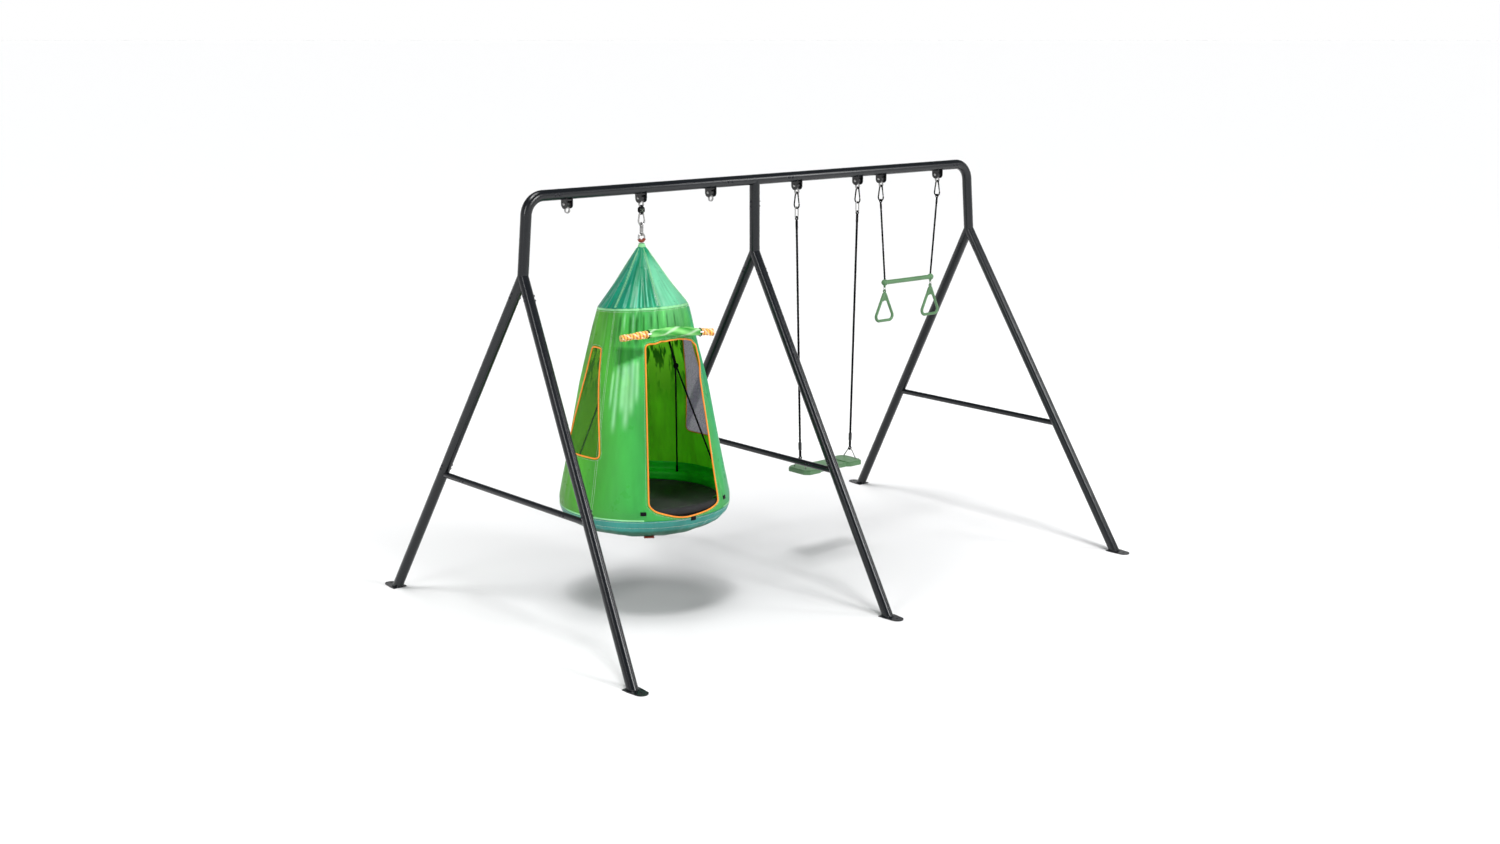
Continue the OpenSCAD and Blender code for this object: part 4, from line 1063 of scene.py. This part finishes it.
# from the peak down, so the quads run the other way round
faces = [(a, d, c, b) for a, b, c, d in grid_faces(count_s + 1, count_a, wrap_columns=True)]
roof = mesh_object("tent_roof", verts, faces, roof_cloth)
co = coordinates(roof)
turn = turns_of(co)
s = (PEAK_H - co[:, 2]) / (PEAK_H - EAVE_H)
tone = 0.92 + 0.10 * np.sin(turn * RAD * 4 + 1) + 0.08 * np.sin(turn * RAD * 9 + 6 * s)
shade = np.ones((len(co), 3)) * tone[:, None]
left = plateau(turn, 120, 130, 207, 219)[:, None]
shade = shade * (1 - left * np.array([0.0, 0.10, -0.15]))
sunny = plateau(turn, 250, 260, 318, 335) * smooth_step(0.06, 0.35, s)
shade = blend(shade, (22.0, 1.75, 2.3), 0.9 * sunny)
# painted highlights: pale streaks running down the front left panel: turn, width, from and to along the slope
for middle, width, low, high in (
    (226, 1.3, 0.45, 1), (231, 0.9, 0.62, 1), (240, 1.2, 0.40, 0.95), (222, 0.8, 0.70, 1),
    (247, 1.0, 0.6, 1),
):
    streak = plateau(s, low, low + 0.2, high - 0.03, high) * hump(turn, middle, width)
    shade = blend(shade, (14.0, 2.3, 3.2), 0.6 * streak)
colours(roof, shade)
solid(roof, 0.0012)
put(roof, "pod", "pod_roof")

ribs = []
for seam in SEAMS:
    s = np.linspace(0.03, 0.985, 70)
    line = roof_point(np.full_like(s, seam), s, 0.0008)
    ribs.append(tube_mesh(line, 0.0017, 6))
roof_ribs = joined("tent_roof_seams", ribs, tape_pale)
roof_thread = []
for seam in SEAMS:
    s = np.linspace(0.10, 0.98, 60)
    for gap in (-1, 1):
        turn = seam + gap * 0.0065 / (PEAK_R + (EAVE_R - PEAK_R) * s) / RAD
        roof_thread += stitch_row(roof_point(turn, s, 0.0006), False)
roof_stitches = joined("tent_roof_stitches", roof_thread, thread_pale)
crown = []
COLLAR_SIDES = 48
collar_profile = (
    (0.0215, 1.894), (0.0208, 1.902), (0.0190, 1.906), (0.0166, 1.909), (0.0150, 1.9125),
    (0.0152, 1.9155), (0.0158, 1.9170),
)
for j, (r, z) in enumerate(collar_profile):
    t = np.arange(COLLAR_SIDES) * 2 * math.pi / COLLAR_SIDES
    ripple = 1 + 0.05 * np.sin(12 * t + j * 0.4) * (j > 1)
    crown.append(around_pod(r * ripple, t, z))
verts = np.concatenate(crown)
faces = grid_faces(len(crown), COLLAR_SIDES, wrap_columns=True)
collar = mesh_object("tent_peak_collar", verts, faces, tape_pale)
solid(collar, 0.0010)
for piece in (roof_ribs, roof_stitches, collar):
    put(piece, "pod")


# ------------------------ lathe with a wavy surface
def lathe(name, profile, material, wave, turns=(0, 360), count=240):
    """Turns a profile of (radius, height) round the pod's axis; wave(turn, r, z) moves it out."""
    profile = resample(profile, 0.009)
    full = turns[1] - turns[0] >= 360
    a = np.linspace(turns[0], turns[1], count + 1)
    if full:
        a = a[:-1]
    verts = []
    for r, z in profile:
        d_r, d_z = wave(a, r, z)
        rr = np.maximum(r + d_r, 0.0004)
        verts.append(around_pod(rr, a * RAD, z + d_z))
    verts = np.concatenate(verts)
    obj = mesh_object(name, verts, grid_faces(len(profile), len(a), wrap_columns=full), material)
    drop_doubles(obj)
    return obj


# ------------------------ base cover
def base_wave(a, r, z):
    t = a * RAD
    hem = hump(z, 0.497, 0.020)
    under = hump(r, 0.34, 0.09) if z < 0.48 else 0
    d = hem * (0.0022 * np.sin(34 * t + 0.6) + 0.0016 * np.sin(53 * t + 2.2) - 0.0035)
    d_z = under * (0.0022 * np.sin(9 * t + 1.1) + 0.0015 * np.sin(21 * t))
    return d, d_z + 0.0008


base = lathe(
    "tent_base",
    [(0.4495, 0.5496), (0.4475, 0.535), (0.4435, 0.520), (0.4365, 0.5075), (0.425, 0.4935), (0.406, 0.4770),
     (0.380, 0.4630), (0.350, 0.4495), (0.270, 0.4225), (0.150, 0.3985), (0.070, 0.3905), (0.0004, 0.3890)],
    base_cloth, base_wave, count=300,
)
co = coordinates(base)
turn = turns_of(co)
lit = 0.5 + 0.5 * np.sin(turn * RAD * 3 + 2.0) * np.sin(turn * RAD * 7)
shade = np.ones((len(co), 3)) * (0.86 + 0.22 * lit)[:, None]
# painted shade: much darker on the underside, below the hem
colours(base, blend(shade, (0.30, 0.40, 0.26), 1 - smooth_step(0.478, 0.500, co[:, 2])))
solid(base, 0.0014)
put(base, "pod", "base_cover")
base_thread = []
for r, z in ((0.4500, 0.5440), (0.4385, 0.5110)):
    t = np.arange(360) * RAD
    d_r, d_z = base_wave(np.arange(360.0), r, z)
    rr = r + d_r + 0.0008
    base_thread += stitch_row(around_pod(rr, t, z + d_z), True)
base_stitches = joined("tent_base_stitches", base_thread, thread_pale)
put(base_stitches, "pod")
# brown pull tab under the front of the base
PULL_TURN = 236
pull_out = Vector((math.cos(PULL_TURN * RAD), math.sin(PULL_TURN * RAD), 0))
pull_side = Vector((-pull_out.y, pull_out.x, 0)) * 0.026
verts = []
for k in range(17):
    t = math.pi * k / 16
    middle = polar(0.330 + 0.004 * math.cos(t), PULL_TURN, 0.4440 - 0.012 * math.sin(t))
    middle += pull_out * (0.016 * math.cos(t))
    verts += [middle - pull_side, middle, middle + pull_side]
faces = grid_faces(17, 3)
pull_tab = mesh_object("tent_pull_tab", verts, faces, rope_brown)
solid(pull_tab, 0.0018, 0.0)
put(pull_tab, "pod")


# ------------------------ saucer: floor, padding, skirt
def floor_wave(a, r, z):
    t = a * RAD
    near_rim = plateau(r, 0.25, 0.40, 0.405, 0.425)
    return 0 * a, 0.0012 * (near_rim * np.sin(36 * t) + hump(r, 0, 0.2) * np.sin(3 * t))


floor_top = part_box("saucer_floor")[1].z
floor = lathe(
    "saucer_net",
    [(0.429, floor_top - 0.0016), (0.405, floor_top - 0.0016), (0.384, floor_top - 0.0014),
     (0.355, floor_top - 0.0045), (0.332, floor_top - 0.0070), (0.200, floor_top - 0.0096),
     (0.080, floor_top - 0.0108), (0.0004, floor_top - 0.0110)],
    net_black, floor_wave, count=216,
)
solid(floor, 0.0030)
put(floor, "pod", "saucer_floor")

for k, (start, end) in enumerate(((-30.4, 30.4), (33.6, 146.4), (149.6, 210.4), (213.6, 326.4))):
    turns_along = np.linspace(start, end, int((end - start) * 1.1))
    arc = [polar(RING_R, DOOR_TURN + 90 + t, RING_H) for t in turns_along]

    def lumpy(along, angles, k=k):
        quilt = 0.012 * np.cos(2 * math.pi * along / 0.052)
        return 0.978 + quilt * np.abs(np.cos(angles)) + 0.006 * np.sin(3 * angles + along * 31 + k)

    def plump(along, total=(end - start) * RAD * RING_R):
        near_end = min(along, total - along)
        return 0.0214 * (0.80 + 0.20 * min(1, near_end / 0.012) ** 0.5)

    pad = tube(f"ring_pad_{k + 1}", arc, plump, foam_black, 28, False, lumpy)
    put(pad, "pod", "ring_padding")


def skirt_wave(a, r, z):
    t = a * RAD
    d = 0.0020 * np.sin(23 * t + 1) + 0.0014 * np.sin(37 * t + 2)
    fade = plateau(z, 0.60, 0.64, 0.648, 0.660) + 0.3
    return d * fade, 0 * a


skirt = lathe(
    "saucer_skirt",
    [(0.4305, 0.660), (0.4325, 0.640), (0.4340, 0.6235), (0.4300, 0.6150), (0.4180, 0.6118), (0.4060, 0.6105),
     (0.3990, 0.6060), (0.3972, 0.5960), (0.3968, 0.5820), (0.3965, floor_top + 0.0010)],
    skirt_cloth, skirt_wave, (DOOR_TURN + 31.5, DOOR_TURN + 328.5), 260,
)
solid(skirt, 0.0012, 0.0)
put(skirt, "pod", "inner_skirt")


# ------------------------ rolled-up door
ROLL_REACH = float(wall_radius(1.496)) + 0.0285
ROLL_KNOTS = ((-0.316, 1.490), (-0.040, 1.500), (0.246, 1.466))
ROLL_CLIPS = (-0.154, 0.164)
NET_PITCH = 0.0185
out = np.array([math.cos(DOOR_TURN * RAD), math.sin(DOOR_TURN * RAD), 0])
across = np.array([-math.sin(DOOR_TURN * RAD), math.cos(DOOR_TURN * RAD), 0])


def roll_centre(x):
    z = np.interp(x, [k[0] for k in ROLL_KNOTS], [k[1] for k in ROLL_KNOTS])
    return np.array([POD_X, 0, 0]) + out * ROLL_REACH + across * x + np.array([0, 0, z])


def roll_size(x):
    """Outer radius of the roll: bunched between the clips, thin at its netted ends."""
    r = 0.0225 + 0.0022 * math.sin(x * 31 + 0.6) + 0.0012 * math.sin(x * 83)
    for clip in ROLL_CLIPS:
        r -= 0.0058 * hump(x, clip, 0.010)
    ends = max(0.0, abs(x - 0.005) - 0.165)
    r -= 0.0050 * min(1, ends / 0.02)
    if ends > 0:
        r += 0.0016 * math.sin(2 * math.pi * x / NET_PITCH)
    return min(r, 0.0250)


steps_x, per_turn, turns_in = 150, 40, 3.25
xs = np.linspace(-0.312, 0.243, steps_x)
total = int(per_turn * turns_in)
verts, tints = [], []
UP = np.array([0, 0, 1])


def between(low, high, share):
    return np.array(low) * (1 - share) + np.array(high) * share


for x in xs:
    size = roll_size(float(x))
    centre = roll_centre(x)
    netted = abs(x - 0.005) > 0.163
    for k in range(total + 1):
        t = k / total
        angle = 2 * math.pi * turns_in * t + 9 * x
        r = 0.0055 + (size - 0.0055) * t
        r += 0.0011 * math.sin(5 * angle + 60 * x) * t + 0.0007 * math.sin(9 * angle - 110 * x) * t
        sag = 1.0 + 0.05 * math.sin(angle)
        verts.append(centre + out * (r * 0.94 * math.cos(angle)) + UP * (r * sag * math.sin(angle)))
        if netted:
            stripe = 0.5 + 0.5 * math.sin(2 * math.pi * x / NET_PITCH + 0.7 * math.sin(angle))
            tint = between(linear(206, 84, 8), linear(252, 214, 96), stripe)
            glint = max(0.0, math.sin(2.6 * angle + 140 * x)) ** 3
            tints.append(between(tint, (0.95, 0.90, 0.72), 0.7 * glint))
        else:
            # painted light and shade on the folds of the bundle: dark and light green round the spiral
            painted_fold_shading = 0.5 + 0.5 * math.sin(3 * angle + 30 * x)
            tint = between(linear(40, 158, 40), linear(134, 224, 118), painted_fold_shading)
            glint = max(0.0, math.sin(2 * angle - 45 * x)) ** 4
            tints.append(between(tint, (0.72, 0.92, 0.66), 0.6 * glint))
faces = grid_faces(steps_x, total + 1)
roll = mesh_object("door_bundle", verts, faces, roll_cloth)
colours(roll, np.array(tints))
solid(roll, 0.0012)
put(roll, "pod", "door_roll")

roll_ties = []
for number, clip in enumerate(ROLL_CLIPS):
    centre = roll_centre(clip)
    loop_pts = []
    for k in range(48):
        t = 2 * math.pi * k / 48
        squeeze = 0.0192 + 0.0006 * math.sin(3 * t)
        loop_pts.append(centre + out * (squeeze * math.cos(t)) + UP * ((squeeze + 0.001) * math.sin(t)))
    tie = tube(f"roll_tie_{number + 1}", loop_pts, 0.0026, webbing_black, 8, True)
    hub = centre + out * 0.0205 + UP * 0.004
    knob = [hub + across * (0.012 * t) for t in np.linspace(-1, 1, 11)]
    toggle = tube(
        f"roll_toggle_{number + 1}", knob,
        lambda along: 0.0046 * math.sqrt(max(0.05, 1 - (2 * along / 0.024 - 1) ** 4)),
        white_nylon, 14,
    )
    for piece in (tie, toggle):
        put(piece, "pod")
    roll_ties += [tie, toggle]


# ------------------------ hanging strap of the pod
strap_low, strap_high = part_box("pod_strap")
half = 0.0070
top_z, low_z = strap_high.z - 0.0085, strap_low.z + 0.0085
middle = (top_z + low_z) / 2
loop_line = []
for start, hub_z in ((0, top_z), (math.pi, low_z)):
    for k in range(25):
        t = start + math.pi * k / 24
        loop_line.append((half * math.cos(t), hub_z + half * math.sin(t)))
loop_line = resample(loop_line, 0.0015, True)
STRAP_COLUMNS = 9
verts = []
for y, z in loop_line:
    wide = 0.0062 + 0.0106 * math.exp(-(((z - middle) / 0.0145) ** 6))
    for f in np.linspace(-1, 1, STRAP_COLUMNS):
        verts.append((POD_X + wide * f, y, z))
faces = grid_faces(len(loop_line), STRAP_COLUMNS, wrap_rows=True)
strap = mesh_object("pod_webbing", verts, faces, webbing_black)
solid(strap, 0.0024, 0.0)
put(strap, "pod_hanger", "pod_strap")
box_thread = []
for y in (-0.0084, 0.0084):
    # two level rows and a cross between them
    for left_z, right_z in ((2.080, 2.080), (2.094, 2.094), (2.080, 2.094), (2.094, 2.080)):
        line = [(POD_X - 0.012, y, left_z), (POD_X + 0.012, y, right_z)]
        box_thread += stitch_row(line, False, 0.0022, 0.0034, 0.0004)
strap_thread = joined("pod_webbing_thread", box_thread, thread_pale)
put(strap_thread, "pod_hanger")


# ------------------------ weld beads on the frame
def bead(points, radius, seed):
    """A closed weld bead with the ripple of its passes."""
    line = resample(points, 0.0022, True)

    def ripple(along, angles):
        return 1 + 0.16 * np.sin(along * 2 * math.pi / 0.0046 + seed) + 0.05 * np.cos(angles * 3)

    return tube_mesh(line, radius, 8, True, ripple)


TUBE_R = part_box("left_beam_tube")[1].z - BEAM_H
BAR_R = 0.016
SPLAY = 5.15 * RAD
POST_X, MIDDLE_POST_X, FOOT_Y = 1.570, -0.097, 1.066
FORK_H, CROSSBAR_H = 1.810, 0.704
CHEEK_Y = 0.0243
welds = []
for side in (-1, 0, 1):
    lean = abs(side) * SPLAY
    drop = (BEAM_H - FORK_H) / math.cos(lean)
    full = BEAM_H / math.cos(lean)
    tilt = math.atan2(FOOT_Y, full - drop)
    corner = Vector((side * POST_X if side else MIDDLE_POST_X, 0, BEAM_H))
    turn_plane = Matrix.Rotation(-side * SPLAY, 3, "Y")
    for face in (-1, 1):
        top = corner + turn_plane @ Vector((0, 0, -drop))
        way = turn_plane @ Vector((0, face * math.sin(tilt), -math.cos(tilt)))
        along_x = turn_plane @ Vector((1, 0, 0))
        along_y = way.cross(along_x)
        ring = []
        for k in range(64):
            t = 2 * math.pi * k / 64
            edge = top + (TUBE_R + 0.0003) * (along_x * math.cos(t) + along_y * math.sin(t))
            ring.append(edge + way * ((0.0062 - edge.z) / way.z))
        welds.append(bead(ring, 0.0026, side + face))
        # where the crossbar's stub meets the leg
        at = (BEAM_H - CROSSBAR_H) / math.cos(lean)
        hub = corner + turn_plane @ Vector((0, 0, -at))
        up = turn_plane @ Vector((0, 0, 1))
        ring = []
        for k in range(40):
            t = 2 * math.pi * k / 40
            start = hub + (BAR_R + 0.0002) * (along_x * math.cos(t) + up * math.sin(t))
            # walk outwards until the line meets the leg's wall
            q = start - top
            q -= way * q.dot(way)
            d = Vector((0, face, 0))
            d -= way * d.dot(way)
            a, b, c = d.dot(d), 2 * q.dot(d), q.dot(q) - TUBE_R ** 2
            root = (-b - math.sqrt(b * b - 4 * a * c)) / (2 * a)
            ring.append(start + Vector((0, face, 0)) * root)
        welds.append(bead(ring, 0.0018, 2 * side + face))
# short beads where the brackets' cheeks meet the beam
bead_h = BEAM_H - math.sqrt(TUBE_R ** 2 - CHEEK_Y ** 2) - 0.0004
for x in HANGER_X:
    for end in (-1, 1):
        for face in (-1, 1):
            line = [(x + end * (0.0150 + 0.005 * k / 11), face * CHEEK_Y, bead_h) for k in range(12)]
            welds.append(tube_mesh(line, 0.0015, 8))
weld_beads = joined("frame_welds", welds, frame_black)
put(weld_beads, "frame")


# ------------------------ floor, light
scene.view_settings.view_transform = "Standard"
ground_paint = Shader("studio_floor", (0.90, 0.90, 0.90), 0.9, 0.0, Specular_IOR_Level=0.2)
# painted shade on the floor: greyer near the middle, under the frame, and whiter further out
reach = ground_paint.node("ShaderNodeVectorMath")
reach.operation = "LENGTH"
ground_paint.link(ground_paint.coord, reach.inputs[0])
FADE_REACH = 4.0
outward = ground_paint.math("DIVIDE", reach.outputs["Value"], FADE_REACH)
painted_floor_shade = ground_paint.ramp(outward, [(0.12, 0.0), (0.80, 1.0)])
ground_paint.link(
    ground_paint.mixed(painted_floor_shade, (0.62, 0.62, 0.625), (0.98, 0.98, 0.98)),
    ground_paint.bsdf.inputs["Base Color"],
)
FLOOR_HALF, FLOOR_H = 400, -0.0005
ground = mesh_object(
    "studio_ground",
    [(x * FLOOR_HALF, y * FLOOR_HALF, FLOOR_H) for x, y in ((-1, -1), (1, -1), (1, 1), (-1, 1))],
    [(0, 1, 2, 3)], ground_paint.mat, False,
)
ground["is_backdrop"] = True

world = bpy.data.worlds.new("studio")
scene.world = world
world.use_nodes = True
sky = world.node_tree
back = sky.nodes["Background"]
direction = sky.nodes.new("ShaderNodeTexCoord")
split_up = sky.nodes.new("ShaderNodeSeparateXYZ")
fade = sky.nodes.new("ShaderNodeValToRGB")
fade.color_ramp.elements[0].position = 0.03
fade.color_ramp.elements[0].color = (1, 1, 1, 1)
fade.color_ramp.elements[1].position = 0.55
fade.color_ramp.elements[1].color = (0.10, 0.105, 0.11, 1)
sky.links.new(direction.outputs["Generated"], split_up.inputs[0])
sky.links.new(split_up.outputs["Z"], fade.inputs["Fac"])
sky.links.new(fade.outputs["Color"], back.inputs["Color"])
back.inputs["Strength"].default_value = 1.0


def light(name, kind, power, along):
    """A light that shines along a direction."""
    data = bpy.data.lights.new(name, kind)
    data.energy = power
    obj = bpy.data.objects.new(name, data)
    scene.collection.objects.link(obj)
    obj.rotation_euler = Vector(along).to_track_quat("-Z", "Y").to_euler()
    return obj


def softbox(name, place, aim, size, power):
    obj = light(name, "AREA", power, Vector(aim) - Vector(place))
    obj.location = place
    obj.data.shape = "RECTANGLE"
    obj.data.size, obj.data.size_y = size


def sun(name, towards, power, spread):
    light(name, "SUN", power, -Vector(towards)).data.angle = spread * RAD


# a wide soft sun overhead, and a smaller one that stands high at the front left
sun("overhead", (-0.05, 0.0, 1.0), 1.60, 34)
sun("front", (-0.24, -0.22, 1.0), 1.10, 12)
softbox("key_left", (-6.5, -2.0, 4.2), (-0.8, 0, 1.1), (0.8, 3.0), 90)
softbox("front_box", (0.3, -6.8, 5.2), (0, 0, 1.1), (1.8, 2.4), 270)
softbox("right_box", (5.2, -5.2, 4.6), (0, 0, 1.6), (1.2, 2.6), 110)

low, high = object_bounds()
